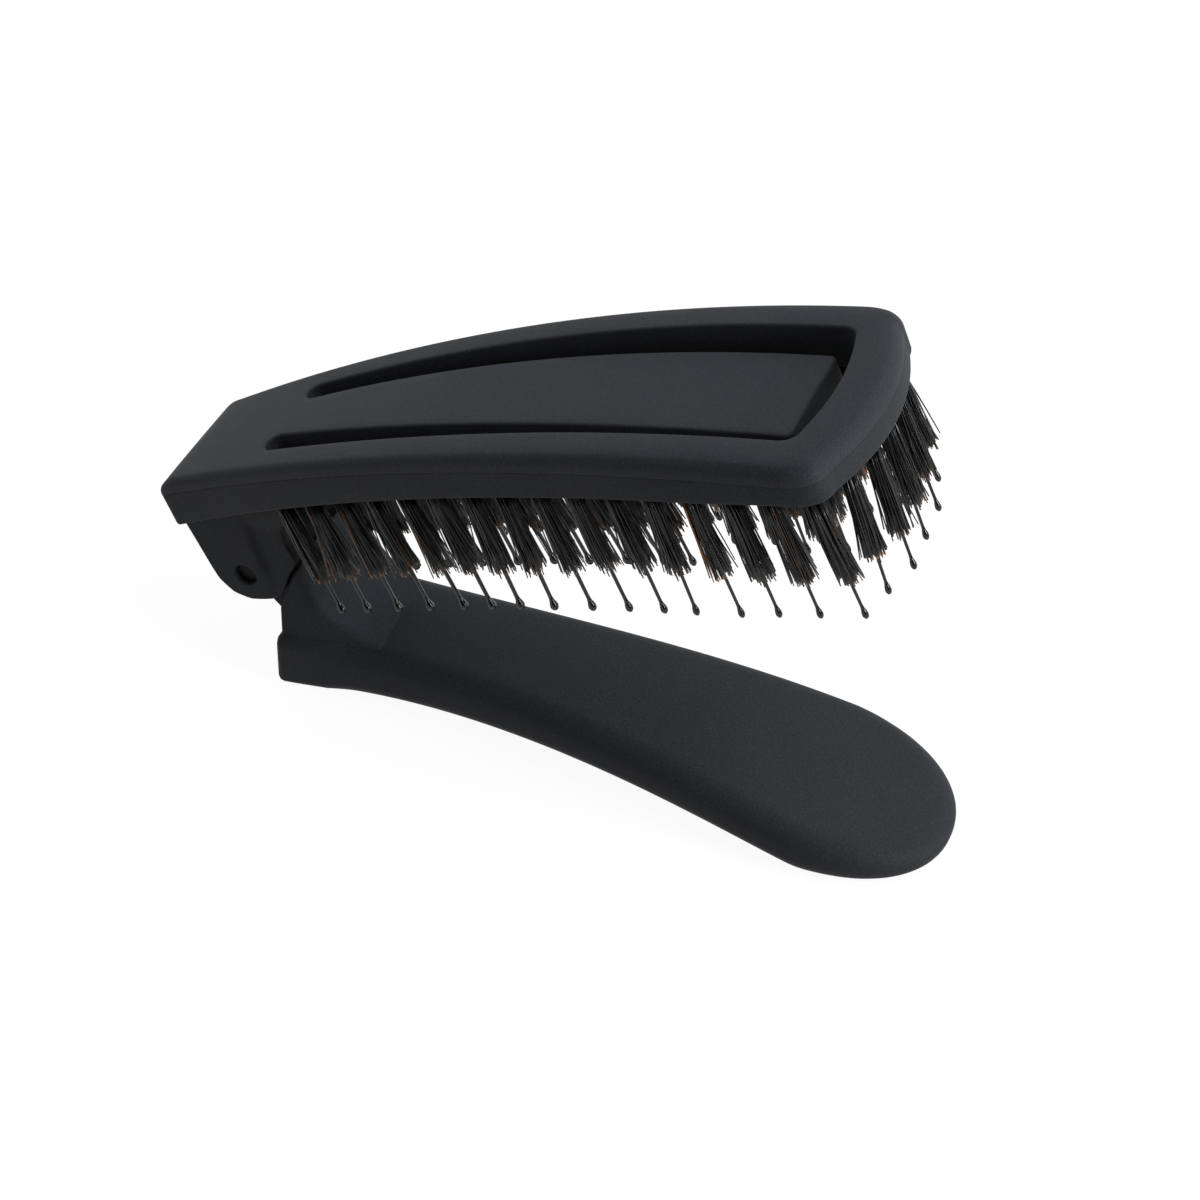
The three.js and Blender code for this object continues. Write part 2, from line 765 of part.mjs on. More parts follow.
function handleBody() {
  let body = layeredSlab(handleOutline(), lowerAndUpperRounds(handleEdgeRound, handleUnder, handleFace));
  const recess = coverPairs(coverInset - backingGap, coverStart - backingGap, coverEnd + backingGap);
  body = body.subtract(plank(recess, (x) => handleUnder(x) - cutOverrun, (x) => coverTop(x) + backingGap));
  const hollow = coverPairs(coverInset + coverLedge, coverStart + coverLedge, coverEnd - coverLedge);
  body = body.subtract(plank(hollow, handleUnder, ceiling));
  const floor = blockBottom - blockGap;
  const blockRoom = upright(blockPlan(blockGap), floor, 0);
  const roomSide = blockHalfWidth + blockGap;
  const openEnd = block([handleStart - cutOverrun, -roomSide, floor], [blockStart + blockCheek, roomSide, 0]);
  body = body.subtract(blockRoom).subtract(openEnd);
  const tangSide = tangHalfWidth + blockGap;
  const roomTop = tangTop + blockGap;
  const tangRoom = block([rampFoot - blockCheek, -tangSide, floor], [tangEnd + blockGap, tangSide, roomTop]);
  body = body.subtract(tangRoom);
  for (const x of tangScrewPlaces) {
    body = body.add(post(bossRadius, x, roomTop, ceiling(x) + bossRoot));
    body = body.subtract(post(screwRadius + screwGap, x, blockBottom, screwTipRoom(x)));
  }
  for (const x of coverScrewPlaces) {
    body = body.add(post(bossRadius, x, coverTopUnderBoss(x) + backingGap, ceiling(x) + bossRoot));
    body = body.subtract(post(screwRadius + screwGap, x, coverTop(x), screwTipRoom(x)));
  }
  return body;
}

function handleCover() {
  const coverUnder = (x) => handleUnder(x) + coverSink;
  let cover = plank(coverPairs(coverInset, coverStart, coverEnd), coverUnder, coverTop);
  for (const x of coverScrewPlaces) {
    const under = handleUnder(x) - cutOverrun;
    cover = cover.subtract(post(screwRadius + screwGap, x, under, coverTop(x) + cutOverrun));
    cover = cover.subtract(post(screwHeadRadius + screwGap, x, under, handleUnder(x) + coverScrewSeat));
  }
  return cover;
}

// A screw stands head down, with its shank up in the boss
function screw(x, headBottom, headHeight, tip) {
  return post(screwHeadRadius, x, headBottom, headBottom + headHeight)
    .add(post(screwRadius, x, headBottom + headHeight / 2, tip));
}

function tangScrew(x) {
  return screw(x, blockBottom - screwGap - screwHeadHeight, screwHeadHeight, screwTipRoom(x) - screwTipGap);
}

function coverScrew(x) {
  const headBottom = handleUnder(x) + coverScrewSeat - screwGap - coverScrewHeadHeight;
  return screw(x, headBottom, coverScrewHeadHeight, screwTipRoom(x) - screwTipGap);
}

// Materials and the assembled brush
const softBlack = { color: 0x2b2b2d, roughness: 0.75, metalness: 0 };
const plasticBlack = { color: 0x242426, roughness: 0.6, metalness: 0 };
const bristleBlack = { color: 0x1a1512, roughness: 0.4, metalness: 0 };
const steel = { color: 0x9a9a9c, roughness: 0.3, metalness: 1 };
const nylon = { color: 0xd8d4c8, roughness: 0.5, metalness: 0 };

function piece(name, solid, finish) {
  const mesh = new THREE.Mesh(geometryOf(solid), new THREE.MeshStandardMaterial(finish));
  mesh.name = name;
  return mesh;
}

const head = new THREE.Group();
head.rotation.y = -THREE.MathUtils.degToRad(openingAngle);
head.add(
  piece('head_shell', headShell(), softBlack),
  piece('head_body', headBody(), softBlack),
  piece('bristle_strip_near', tufted(sideStripPairs(-1, 0), sideTufts(-1)), bristleBlack),
  piece('bristle_strip_far', tufted(sideStripPairs(1, 0), sideTufts(1)), bristleBlack),
  piece('bristle_strip_tip', tufted(crownStripPairs(0), crownTuftPlaces()), bristleBlack),
  piece('bristle_pad', tufted(padPairs(0), padTufts()), bristleBlack),
  piece('hinge_pin', hingePin(), steel),
);

const handle = new THREE.Group();
handle.add(
  piece('handle_body', handleBody(), softBlack),
  piece('hinge_block', hingeBlock(), plasticBlack),
  piece('handle_cover', handleCover(), plasticBlack),
  piece('hinge_bush', hingeBush(), nylon),
  piece('washer_near', washer(-1), steel),
  piece('washer_far', washer(1), steel),
);
tangScrewPlaces.forEach((x, i) => handle.add(piece(`tang_screw_${i + 1}`, tangScrew(x), steel)));
coverScrewPlaces.forEach((x, i) => handle.add(piece(`cover_screw_${i + 1}`, coverScrew(x), steel)));

// The origin is on the floor, under the middle of the handle's hinge foot
const brush = new THREE.Group();
brush.add(head, handle);
brush.position.set(-footCentre, 0, pinAboveFloor);

export default brush;
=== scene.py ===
import bpy
import math
import random
import numpy as np
from mathutils import Matrix, Vector
from mathutils.geometry import delaunay_2d_cdt


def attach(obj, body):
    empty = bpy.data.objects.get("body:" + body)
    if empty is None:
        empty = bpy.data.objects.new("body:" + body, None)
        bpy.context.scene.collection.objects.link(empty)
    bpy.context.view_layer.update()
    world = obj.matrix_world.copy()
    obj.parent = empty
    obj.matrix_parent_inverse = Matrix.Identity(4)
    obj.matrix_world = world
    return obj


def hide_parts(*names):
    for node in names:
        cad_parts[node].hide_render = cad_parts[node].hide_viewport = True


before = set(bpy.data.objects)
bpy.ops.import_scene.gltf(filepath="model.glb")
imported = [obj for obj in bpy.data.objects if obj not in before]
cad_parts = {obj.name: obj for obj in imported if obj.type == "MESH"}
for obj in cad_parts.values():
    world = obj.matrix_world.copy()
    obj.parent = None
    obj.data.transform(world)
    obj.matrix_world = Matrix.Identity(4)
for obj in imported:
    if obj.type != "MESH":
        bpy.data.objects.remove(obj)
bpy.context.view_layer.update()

# Sizes in millimetres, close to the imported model's and set nearer to the photo in places

# Pose: the head's angle over the handle, and the pin in the part's frame
opening = math.radians(24.3)
pin_x, pin_z = -10.7, 20.2

# Head, in its own frame: u along it from the pin, y across, z out of its back
head_length, head_behind = 118.0, 8.6
half_at_hinge, half_at_tip, side_bulge = 10.6, 20.1, 8
crown_rise, corner_span = 5.0, 4.6
head_tip = head_length - head_behind
crown_start = head_tip - crown_rise
pin_to_underside, arch_rise, under_drop = 10.65, 21.6, 1.05
thickness_at_hinge, thickness_at_tip = 7.2, 6.2
shell_thickness, edge_at_hinge, edge_round, edge_reach = 2.2, 0.8, 1.3, 2.2
crown_on_top, crown_at_parting, crown_drop = 0.25, 0.3, 0.2
end_round_reach, end_round_top, end_round_parting = 4.0, 1.5, 0.5
frame_swell, swell_range = 0.7, (12, 95)
tip_lift, lift_range = 0.8, (84, 103)
parting_at_hinge, parting_along, parting_range = 0.03, 0.008, (15, 60)
hinge_end_round, crown_corner_pull, crown_corner_past = 1.0, 0.36, 0.05
frame_at_hinge, frame_at_tip = 4.7, 6.7
slot_width, slot_width_tip, slot_start = 3.8, 4.1, 12.3
slot_tip = head_tip - 6.3
tongue_tip = slot_tip - slot_width_tip
slot_corner, slot_bow, tongue_corner = 2.4, 1.4, 1.0
tongue_sink, tongue_sink_parting = 1.6, 0.2
loop_spacing, backing_spacing = 0.6, 0.7

# Ears, from the pin
ear_outer, ear_inner = 10.93, 7.93
ear_recess, recess_range, recess_heights, recess_slant = 0.5, (3.1, 4.7), (11.5, 7.0), 0.1
pin_hole = 1.9
ear_line = [[12.3, 14.2], [-6.5, 13.0], [-6.05, 7.0], [-5.8, 2.6], [-5.5, -0.5], [-4.0, -3.25],
            [-1.4, -4.75], [1.0, -4.95], [3.2, -4.95], [4.5, -4.4], [5.8, -3.0], [7.3, -1.1],
            [10.25, 1.3], [9.8, 5.0], [10.5, 7.9], [12.3, 8.8]]

# Bristles: pockets in the head, their backings, and the tufts and pins in them
first_column, column_pitch, column_count = 13.8, 5.93, 16
strip_end = crown_start - 0.3
strip_start, pad_start = 12.0, 15.8
wall, gap = 0.8, 0.25
pocket_slack, pocket_depth = 0.22, 2.4
backing_sunk, backing_top = 0.2, 2.15
place_margin, row_pitch, corner_cut_slope = 1.3, 4.7, 0.35
crown_tufts, crown_tuft_share, far_shift = 4, 0.75, 1.2
pin_reach, pin_lean_u, pin_lean_y = 21.3, 0.45, 0.35
ball_size, ball_size_at_tip, thin_share, thin_range = 0.66, 0.48, 0.75, (45, 90)
pin_foot, hair_foot, collar_foot = 0.5, 0.3, 0.45
tuft_root, hair_length = 1.15, 14.75
hairs_per_tuft = 92
locks_per_tuft, hair_steps, hair_sides = 7, 5, 3
lock_spread, root_spread, hair_jitter, hair_bow = 0.75, 0.42, 0.17, 0.16
stray_share, stray_lean, stray_short = 0.05, 2.1, 2.2
collar = [(0.0, 1.75), (0.25, 1.72), (0.42, 1.6), (0.5, 1.42)]  # distance along, radius
pin_drop = [(2.2, 0.5), (1.8, 0.6), (1.4, 0.8), (1.0, 0.97), (0.7, 1.0), (0.4, 0.87), (0.17, 0.6),
            (0.03, 0.27)]  # distance back from the tip, share of the ball's radius

# Where the pins end: along the head in the near row, along and across at the tip, how far the tongue's
# pins lean along the head, and how much nearer to the head pins end, by their place along it
near_tip_u = [15.0, 20.4, 26.6, 32.8, 39.2, 44.4, 49.5, 55.4, 61.8, 67.9, 73.5, 78.5, 85.5, 91.2, 97.4,
              103.8]
crown_tips = [(105.1, -9.8), (107.0, -4.3), (106.6, 2.4), (106.4, 8.9)]
pad_leans = [(25, -1.5), (49, 1.0), (67, 1.9), (79, -1.0), (97, -0.4)]
pin_lifts = [(15, 0), (26, -0.4), (45, -0.6), (62, -0.9), (85, -0.9), (97, 0.1), (106, 0.5)]

# Handle, from the pin
handle_start, handle_end, handle_end_span = 4.8, 112.5, 20.4
side_end = handle_end - handle_end_span
floor_below_pin = pin_z
face_heights = (-11.1, -5.9, -6.8, -16.0)
handle_halves = (12.1, 8.3, 13.8, 15.9)
foot_end, foot_span = 13.2, 81
under_rise, under_rise_far, under_range = 14.4, 17.3, (35, 75)
edge_at_start, edge_along, edge_end = 1.2, 3.4, 19
fillet_reach, fillet_share, fillet_range = 2.0, 0.3, (11, 20)
handle_crown, handle_start_round, end_fullness = 0.3, 1.3, 0.93

# Hinge block, from the pin
block_start, shoulder_tip, ramp_foot = 5.6, 9.15, 21.6
shoulder_line = [(-30, 0), (-4.2, 0), (-0.2, 1.45), (1.6, 2.0), (4.6, 3.4), (5.9, 3.55)]  # height, reach
wedge_half, wedge_half_at_foot = 10.75, 8.7
wedge_round, wedge_round_at_foot = 3.4, 0.8
knuckle_half, knuckle_radius, tower_radius, tower_foot = 6.73, 4.4, 9.95, -12.6
block_voxel, block_rounds = 0.22, 6
block_foot = np.array([[0, -10.8], [7.6, -10.8], [21.7, -8.8], [21.7, 8.8], [7.6, 10.8], [0, 10.8]],
                      float)

# Cover and screws under the handle, and the pin's ends
cover_from, cover_short, cover_wall, cover_rim, cover_corner = 10.2, 11, 4, 4, 2.5
cover_pocket, cover_sunk, cover_top = 1.95, 0.2, 1.7
screw_x, screw_seat, screw_sunk = [47.0, 84.5], 2.15, 0.35
screw_lines = [([(0, 0.9), (0.12, 1.5), (0.35, 1.9), (0.6, 1.98), (0.95, 1.98)], 32),
               ([(0.9, 1.0), (5.4, 1.0), (5.9, 0.6)], 16)]  # head and shank: distance along, radius
pin_end = ear_outer - 0.9
pin_head = [(0, 1.68), (0.1, 1.8), (1.9, 1.8), (2.0, 1.68)]


def lerp(a, b, t):
    return a + (b - a) * t


def cubic(a, b, c, d, t):
    s = 1 - t
    return a * s ** 3 + 3 * b * s * s * t + 3 * c * s * t * t + d * t ** 3


def smooth(low, high, x):
    t = np.clip((x - low) / (high - low), 0, 1)
    return t * t * (3 - 2 * t)


def head_share(u):
    return (u + head_behind) / head_length


def head_half(u):
    s = head_share(u)
    return lerp(half_at_hinge, half_at_tip, s) + side_bulge * s * (1 - s)


def head_arch(u):
    s = head_share(u)
    return pin_to_underside + arch_rise * s * (1 - s)


def head_under(u):
    return head_arch(u) - under_drop * (1 - head_share(u)) ** 2


def head_top(u):
    return head_arch(u) + lerp(thickness_at_hinge, thickness_at_tip, head_share(u))


def slot_outer(u):
    return head_half(u) - lerp(frame_at_hinge, frame_at_tip, head_share(u))


def tongue_half(u):
    return slot_outer(u) - slot_width


def crown_at(y):
    return crown_start + crown_rise * (1 - (y / half_at_tip) ** 2)


def handle_face(x):
    t = (x - handle_start) / (handle_end - handle_start)
    return cubic(*face_heights, t)


def handle_under(x):
    t = np.clip((x - foot_end) / foot_span, 0, 1)
    rise = t * (1 - t)
    eased = under_rise_far * rise ** 2 / (rise + 0.05)
    return -floor_below_pin + lerp(under_rise * rise, eased, smooth(*under_range, x))


def handle_half(x):
    t = (x - handle_start) / (side_end - handle_start)
    return cubic(*handle_halves, t)


# Placing: head pieces turn about the pin, handle pieces only shift
def from_head(p):
    p = np.asarray(p, float)
    c, s = math.cos(opening), math.sin(opening)
    x = p[:, 0] * c - p[:, 2] * s + pin_x
    z = p[:, 0] * s + p[:, 2] * c + pin_z
    return np.stack([x, p[:, 1], z], -1) / 1000


def from_handle(p):
    return (np.asarray(p, float) + [pin_x, 0, pin_z]) / 1000


def add_piece(name, points, faces, place, body, material, sharp=35, replaces=()):
    mesh = bpy.data.meshes.new(name)
    mesh.from_pydata(place(points).tolist(), [], [tuple(int(i) for i in f) for f in faces])
    mesh.validate()
    mesh.update()
    piece = bpy.data.objects.new(name, mesh)
    bpy.context.scene.collection.objects.link(piece)
    mesh.shade_smooth()
    if sharp:
        mesh.set_sharp_from_angle(angle=math.radians(sharp))
    mesh.materials.append(material)
    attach(piece, body)
    if replaces:
        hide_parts(*replaces)
    return piece


def joined(parts):
    points, faces, count = [], [], 0
    for p, f in parts:
        points.append(np.asarray(p, float))
        faces.extend([tuple(i + count for i in face) for face in f])
        count += len(p)
    return np.concatenate(points), faces


# Outlines as closed loops, counter-clockwise
def resampled(loop, spacing):
    loop = np.asarray(loop, float)
    closed = np.concatenate([loop, loop[:1]])
    step = np.linalg.norm(np.diff(closed, axis=0), axis=1)
    along = np.concatenate([[0], np.cumsum(step)])
    count = max(8, int(round(along[-1] / spacing)))
    at = np.linspace(0, along[-1], count, endpoint=False)
    return np.stack([np.interp(at, along, closed[:, k]) for k in (0, 1)], -1)


def rounded(loop, radius, corners):
    """Turns the named corners of a loop into arcs."""
    loop = [np.asarray(p, float) for p in loop]
    out = []
    for i, p in enumerate(loop):
        if i not in corners:
            if all(np.linalg.norm(p - loop[c]) > 1.15 * radius for c in corners):
                out.append(p)
            continue
        before = loop[i - 1] - p
        after = loop[(i + 1) % len(loop)] - p
        before /= np.linalg.norm(before)
        after /= np.linalg.norm(after)
        half = math.acos(np.clip(before @ after, -1, 1)) / 2
        reach = radius / math.tan(half)
        middle = (before + after) / np.linalg.norm(before + after) * radius / math.sin(half)
        start = p + before * reach - (p + middle)
        end = p + after * reach - (p + middle)
        a0, a1 = math.atan2(start[1], start[0]), math.atan2(end[1], end[0])
        turn = (a1 - a0 + math.pi) % (2 * math.pi) - math.pi
        for t in np.linspace(0, 1, 9):
            a = a0 + turn * t
            out.append(p + middle + radius * np.array([math.cos(a), math.sin(a)]))
    return np.array(out)


def inset(loop, amount):
    """Moves each point of a counter-clockwise loop inwards by an amount."""
    before, after = np.roll(loop, 1, 0), np.roll(loop, -1, 0)
    tangent = after - before
    tangent /= np.linalg.norm(tangent, axis=1)[:, None]
    normal = np.stack([-tangent[:, 1], tangent[:, 0]], -1)
    return loop + normal * np.reshape(amount, (-1, 1))


def mirror(half):
    half = np.asarray(half, float)
    other = half[::-1] * [1, -1]
    return np.concatenate([half, other])


def counter_clockwise(loop):
    area = np.sum(loop[:, 0] * np.roll(loop[:, 1], -1) - np.roll(loop[:, 0], -1) * loop[:, 1])
    return loop if area > 0 else loop[::-1]


def run_corners(count):
    """The four corners of a loop made of two runs of as many points."""
    return 0, count - 1, count, 2 * count - 1


def inside(points, loop):
    x, y = points[:, 0], points[:, 1]
    result = np.zeros(len(points), bool)
    x0, y0 = loop[:, 0], loop[:, 1]
    x1, y1 = np.roll(x0, -1), np.roll(y0, -1)
    for a, b, c, d in zip(x0, y0, x1, y1):
        if b == d:
            continue
        cross = ((b > y) != (d > y)) & (x < (c - a) * (y - b) / (d - b) + a)
        result ^= cross
    return result


def distance(points, loop):
    best = np.full(len(points), 1e9)
    for a, b in zip(loop, np.roll(loop, -1, 0)):
        d = b - a
        t = np.clip(((points - a) @ d) / max(d @ d, 1e-12), 0, 1)
        best = np.minimum(best, np.linalg.norm(points - a - t[:, None] * d, axis=1))
    return best


def cap(outer, holes, spacing):
    """Fills a region with a triangulated grid; the loops come first, in order."""
    loops = [outer] + list(holes)
    low, high = outer.min(0), outer.max(0)
    xs = np.arange(low[0] + spacing / 2, high[0], spacing)
    ys = np.arange(low[1] + spacing / 2, high[1], spacing)
    grid = np.stack(np.meshgrid(xs, ys), -1).reshape(-1, 2)
    keep = inside(grid, outer)
    for hole in holes:
        keep &= ~inside(grid, hole)
    grid = grid[keep]
    near = np.full(len(grid), 1e9)
    for loop in loops:
        near = np.minimum(near, distance(grid, loop))
    grid = grid[near > spacing * 0.45]
    points = np.concatenate(loops + [grid])
    edges, start = [], 0
    for loop in loops:
        n = len(loop)
        edges += [(start + i, start + (i + 1) % n) for i in range(n)]
        start += n
    result = delaunay_2d_cdt([Vector(p) for p in points], edges, [], 0, 1e-7)
    verts = np.array([list(v) for v in result[0]])
    if len(verts) != len(points):
        merged = [i for i, ids in enumerate(result[3]) if len(ids) != 1][:8]
        places = [tuple(round(c, 2) for c in verts[i]) for i in merged]
        raise RuntimeError(f"a cap's loops touch near {places}")
    order = np.array([ids[0] for ids in result[3]])
    faces = [tuple(order[list(face)]) for face in result[2]]
    centres = np.array([points[list(face)].mean(0) for face in faces])
    keep = inside(centres, outer)
    for hole in holes:
        keep &= ~inside(centres, hole)
    return points, [f for f, k in zip(faces, keep) if k]


def slab(outer, holes, top_rings, bottom_rings, top, bottom, spacing, pockets=(), depth=0.0,
         hole_top=None, hole_bottom=None):
    """A closed body between two height functions. Rings are (inset, drop) pairs from the flat part
    out to the edge, which they round; holes go right through, and pockets go in from below."""
    points, faces = [], []
    total = 0

    def put(xy, z):
        nonlocal total
        points.append(np.column_stack([xy, z]))
        total += len(xy)
        return total - len(xy)

    def ring(loop, sign, amount):
        return inset(loop, sign * np.asarray(amount))

    def bridge(a, b, n, flip):
        for i in range(n):
            j = (i + 1) % n
            quad = (a + i, a + j, b + j, b + i)
            faces.append(quad[::-1] if flip else quad)

    hole_top, hole_bottom = hole_top or top_rings, hole_bottom or bottom_rings
    loops = [(outer, 1, top_rings, bottom_rings)] + [(hole, -1, hole_top, hole_bottom) for hole in holes]
    tops = [ring(loop, s, upper[0][0]) for loop, s, upper, _ in loops]
    xy, tris = cap(tops[0], tops[1:], spacing)
    base = put(xy, top(xy) - top_rings[0][1])
    faces.extend([tuple(base + i for i in f) for f in tris])
    lows = [ring(loop, s, lower[0][0]) for loop, s, _, lower in loops]
    wells = [np.asarray(p, float) for p in pockets]
    xy, tris = cap(lows[0], lows[1:] + wells, spacing)
    low_base = put(xy, bottom(xy) + bottom_rings[0][1])
    faces.extend([tuple(low_base + i for i in f)[::-1] for f in tris])
    start, low_start = base, low_base
    for loop, s, upper, lower in loops:
        n, last = len(loop), start
        for amount, drop in upper[1:]:
            xy = ring(loop, s, amount)
            this = put(xy, top(xy) - drop)
            bridge(last, this, n, s > 0)
            last = this
        for amount, drop in lower[:0:-1]:
            xy = ring(loop, s, amount)
            this = put(xy, bottom(xy) + drop)
            bridge(last, this, n, s > 0)
            last = this
        bridge(last, low_start, n, s > 0)
        start += n
        low_start += n
    for well in wells:
        n = len(well)
        xy, tris = cap(well, [], spacing)
        roof = put(xy, bottom(xy) + depth)
        faces.extend([tuple(roof + i for i in f)[::-1] for f in tris])
        bridge(low_start, roof, n, True)
        low_start += n
    return np.concatenate(points), faces


def round_rings(radius, count=5):
    return [(radius * (1 - math.sin(math.radians(a))), radius * (1 - math.cos(math.radians(a))))
            for a in np.linspace(0, 90, count)]


def head_loop():
    corner_start = crown_start - corner_span
    half = [[u, head_half(u)] for u in np.linspace(-head_behind, corner_start, 60)]
    crown_side = half_at_tip - corner_span
    start = np.array(half[-1])
    through = np.array([crown_start + crown_rise * crown_corner_pull, half_at_tip + crown_corner_past])
    end = np.array([crown_at(crown_side), crown_side])
    for t in np.linspace(0, 1, 20)[1:]:
        half.append(start * (1 - t) ** 2 + 2 * through * t * (1 - t) + end * t * t)
    for y in np.linspace(crown_side, 0, 16)[1:-1]:
        half.append([crown_at(y), y])
    loop = mirror(np.array(half))[::-1]
    loop = rounded(loop, hinge_end_round, (0, len(loop) - 1))
    return resampled(loop, loop_spacing)


def slot_loop():
    middle = slot_start + slot_width / 2
    corner_start = slot_tip - slot_bow - slot_corner
    corner_side = slot_outer(corner_start) - slot_corner
    outer = [[u, slot_outer(u)] for u in np.linspace(middle, corner_start, 60)]
    for a in np.linspace(0, math.pi / 2, 9)[1:]:
        outer.append([corner_start + slot_corner * math.sin(a), corner_side + slot_corner * math.cos(a)])
    for y in np.linspace(corner_side, 0, 12)[1:]:
        outer.append([slot_tip - slot_bow * (y / corner_side) ** 2, y])
    tongue_side = tongue_half(tongue_tip) - tongue_corner
    inner = [[tongue_tip, y] for y in np.linspace(0, tongue_side, 10)[1:]]
    centre = np.array([tongue_tip - tongue_corner, tongue_side])
    for a in np.linspace(0, math.pi / 2, 6)[1:]:
        inner.append(centre + tongue_corner * np.array([math.cos(a), math.sin(a)]))
    inner += [[u, tongue_half(u)] for u in np.linspace(tongue_tip - 1.4 * tongue_corner, middle, 60)]
    arm = (slot_outer(middle) + tongue_half(middle)) / 2
    for a in np.linspace(math.pi, 0, 12)[1:-1]:
        inner.append([middle - slot_width / 2 * math.sin(a), arm + slot_width / 2 * math.cos(a)])
    outer, inner = np.array(outer), np.array(inner)
    far = np.concatenate([inner, outer])
    near = far[::-1][1:] * [1, -1]
    loop = np.concatenate([far, near])
    return resampled(counter_clockwise(loop), loop_spacing)


# Materials
grain_scale, cloud_scale, wear_scale = 3600, 90, 900
mix_first, mix_second, mix_result = 6, 7, 2  # a Mix node's colour sockets


def new_material(name):
    material = bpy.data.materials.new(name)
    material.use_nodes = True
    nodes, links = material.node_tree.nodes, material.node_tree.links
    return material, nodes, links, nodes["Principled BSDF"]


def noise(nodes, links, coords, scale, detail, rough):
    node = nodes.new("ShaderNodeTexNoise")
    node.inputs["Scale"].default_value = scale
    node.inputs["Detail"].default_value = detail
    node.inputs["Roughness"].default_value = rough
    links.new(coords.outputs["Object"], node.inputs["Vector"])
    return node.outputs["Fac"]


def ramp(nodes, links, source, stops):
    node = nodes.new("ShaderNodeValToRGB")
    while len(node.color_ramp.elements) < len(stops):
        node.color_ramp.elements.new(0.5)
    for element, (place, colour) in zip(node.color_ramp.elements, stops):
        element.position = place
        element.color = (*colour, 1)
    links.new(source, node.inputs["Fac"])
    return node.outputs["Color"]


def mapped(nodes, links, source, ends):
    """A value between two ends, given as the Map Range node's sockets."""
    node = nodes.new("ShaderNodeMapRange")
    for socket, value in ends.items():
        node.inputs[socket].default_value = value
    links.new(source, node.inputs["Value"])
    return node.outputs["Result"]


def mixed(nodes, links, first, second, blend="MIX"):
    """Two colours mixed; the node is returned, so that its factor can be set."""
    node = nodes.new("ShaderNodeMix")
    node.data_type = "RGBA"
    node.blend_type = blend
    links.new(first, node.inputs[mix_first])
    links.new(second, node.inputs[mix_second])
    return node


def toned(tone, factor, lift=0.0):
    return tuple(factor * t + lift for t in tone)


def soft_touch(name, tone, rough=0.62, grain=0.000009, fleck=1.0, level=0.16):
    """Matte soft-touch plastic: a fine grain with paler flecks and a slight cloudiness."""
    material, nodes, links, bsdf = new_material(name)
    coords = nodes.new("ShaderNodeTexCoord")
    fine = noise(nodes, links, coords, grain_scale, 2.0, 0.6)
    cloud = noise(nodes, links, coords, cloud_scale, 3.0, 0.5)
    pale, bright = toned(tone, 1.18, 0.003 * fleck), toned(tone, 1.6, 0.008 * fleck)
    colour = ramp(nodes, links, fine, [(0.25, toned(tone, 0.8)), (0.5, tone), (0.66, pale), (0.78, bright)])
    shade = ramp(nodes, links, cloud, [(0.3, (0.9, 0.9, 0.9)), (0.7, (1.0, 1.0, 1.0))])
    mix = mixed(nodes, links, colour, shade, "MULTIPLY")
    mix.inputs["Factor"].default_value = 1.0
    links.new(mix.outputs[mix_result], bsdf.inputs["Base Color"])
    rough_map = mapped(nodes, links, cloud, {"To Min": rough - 0.06, "To Max": rough + 0.08})
    links.new(rough_map, bsdf.inputs["Roughness"])
    bump = nodes.new("ShaderNodeBump")
    bump.inputs["Strength"].default_value = 0.5
    bump.inputs["Distance"].default_value = grain
    links.new(fine, bump.inputs["Height"])
    links.new(bump.outputs["Normal"], bsdf.inputs["Normal"])
    bsdf.inputs["Specular IOR Level"].default_value = level
    return material


def glossy(name, tone, rough, metallic=0.0, level=0.5):
    """Smooth plastic or steel with slight wear."""
    material, nodes, links, bsdf = new_material(name)
    coords = nodes.new("ShaderNodeTexCoord")
    wear = noise(nodes, links, coords, wear_scale, 3.0, 0.5)
    colour = ramp(nodes, links, wear, [(0.3, toned(tone, 0.8)), (0.7, toned(tone, 1.15))])
    links.new(colour, bsdf.inputs["Base Color"])
    rough_map = mapped(nodes, links, wear, {"To Min": rough - 0.05, "To Max": rough + 0.08})
    links.new(rough_map, bsdf.inputs["Roughness"])
    bsdf.inputs["Metallic"].default_value = metallic
    bsdf.inputs["Specular IOR Level"].default_value = level
    return material


def hair_material():
    """Boar hair: black to brown by strand, with paler orange-brown ends."""
    material, nodes, links, bsdf = new_material("boar_hair")
    strand = nodes.new("ShaderNodeAttribute")
    strand.attribute_name = "strand"
    split = nodes.new("ShaderNodeSeparateColor")
    links.new(strand.outputs["Color"], split.inputs["Color"])
    tone, along = split.outputs["Red"], split.outputs["Green"]
    base = ramp(nodes, links, tone, [(0.0, (0.004, 0.004, 0.004)), (0.91, (0.007, 0.007, 0.007)),
                                     (0.975, (0.03, 0.014, 0.007)), (1.0, (0.26, 0.095, 0.025))])
    tip = ramp(nodes, links, tone, [(0.0, (0.012, 0.009, 0.008)), (0.45, (0.05, 0.025, 0.014)),
                                    (0.75, (0.28, 0.13, 0.05)), (1.0, (0.62, 0.32, 0.14))])
    mix = mixed(nodes, links, base, tip)
    worn = mapped(nodes, links, along, {"From Min": 0.955, "From Max": 1.0})
    links.new(worn, mix.inputs["Factor"])
    links.new(mix.outputs[mix_result], bsdf.inputs["Base Color"])
    bsdf.inputs["Roughness"].default_value = 0.3
    bsdf.inputs["Specular IOR Level"].default_value = 0.5
    return material


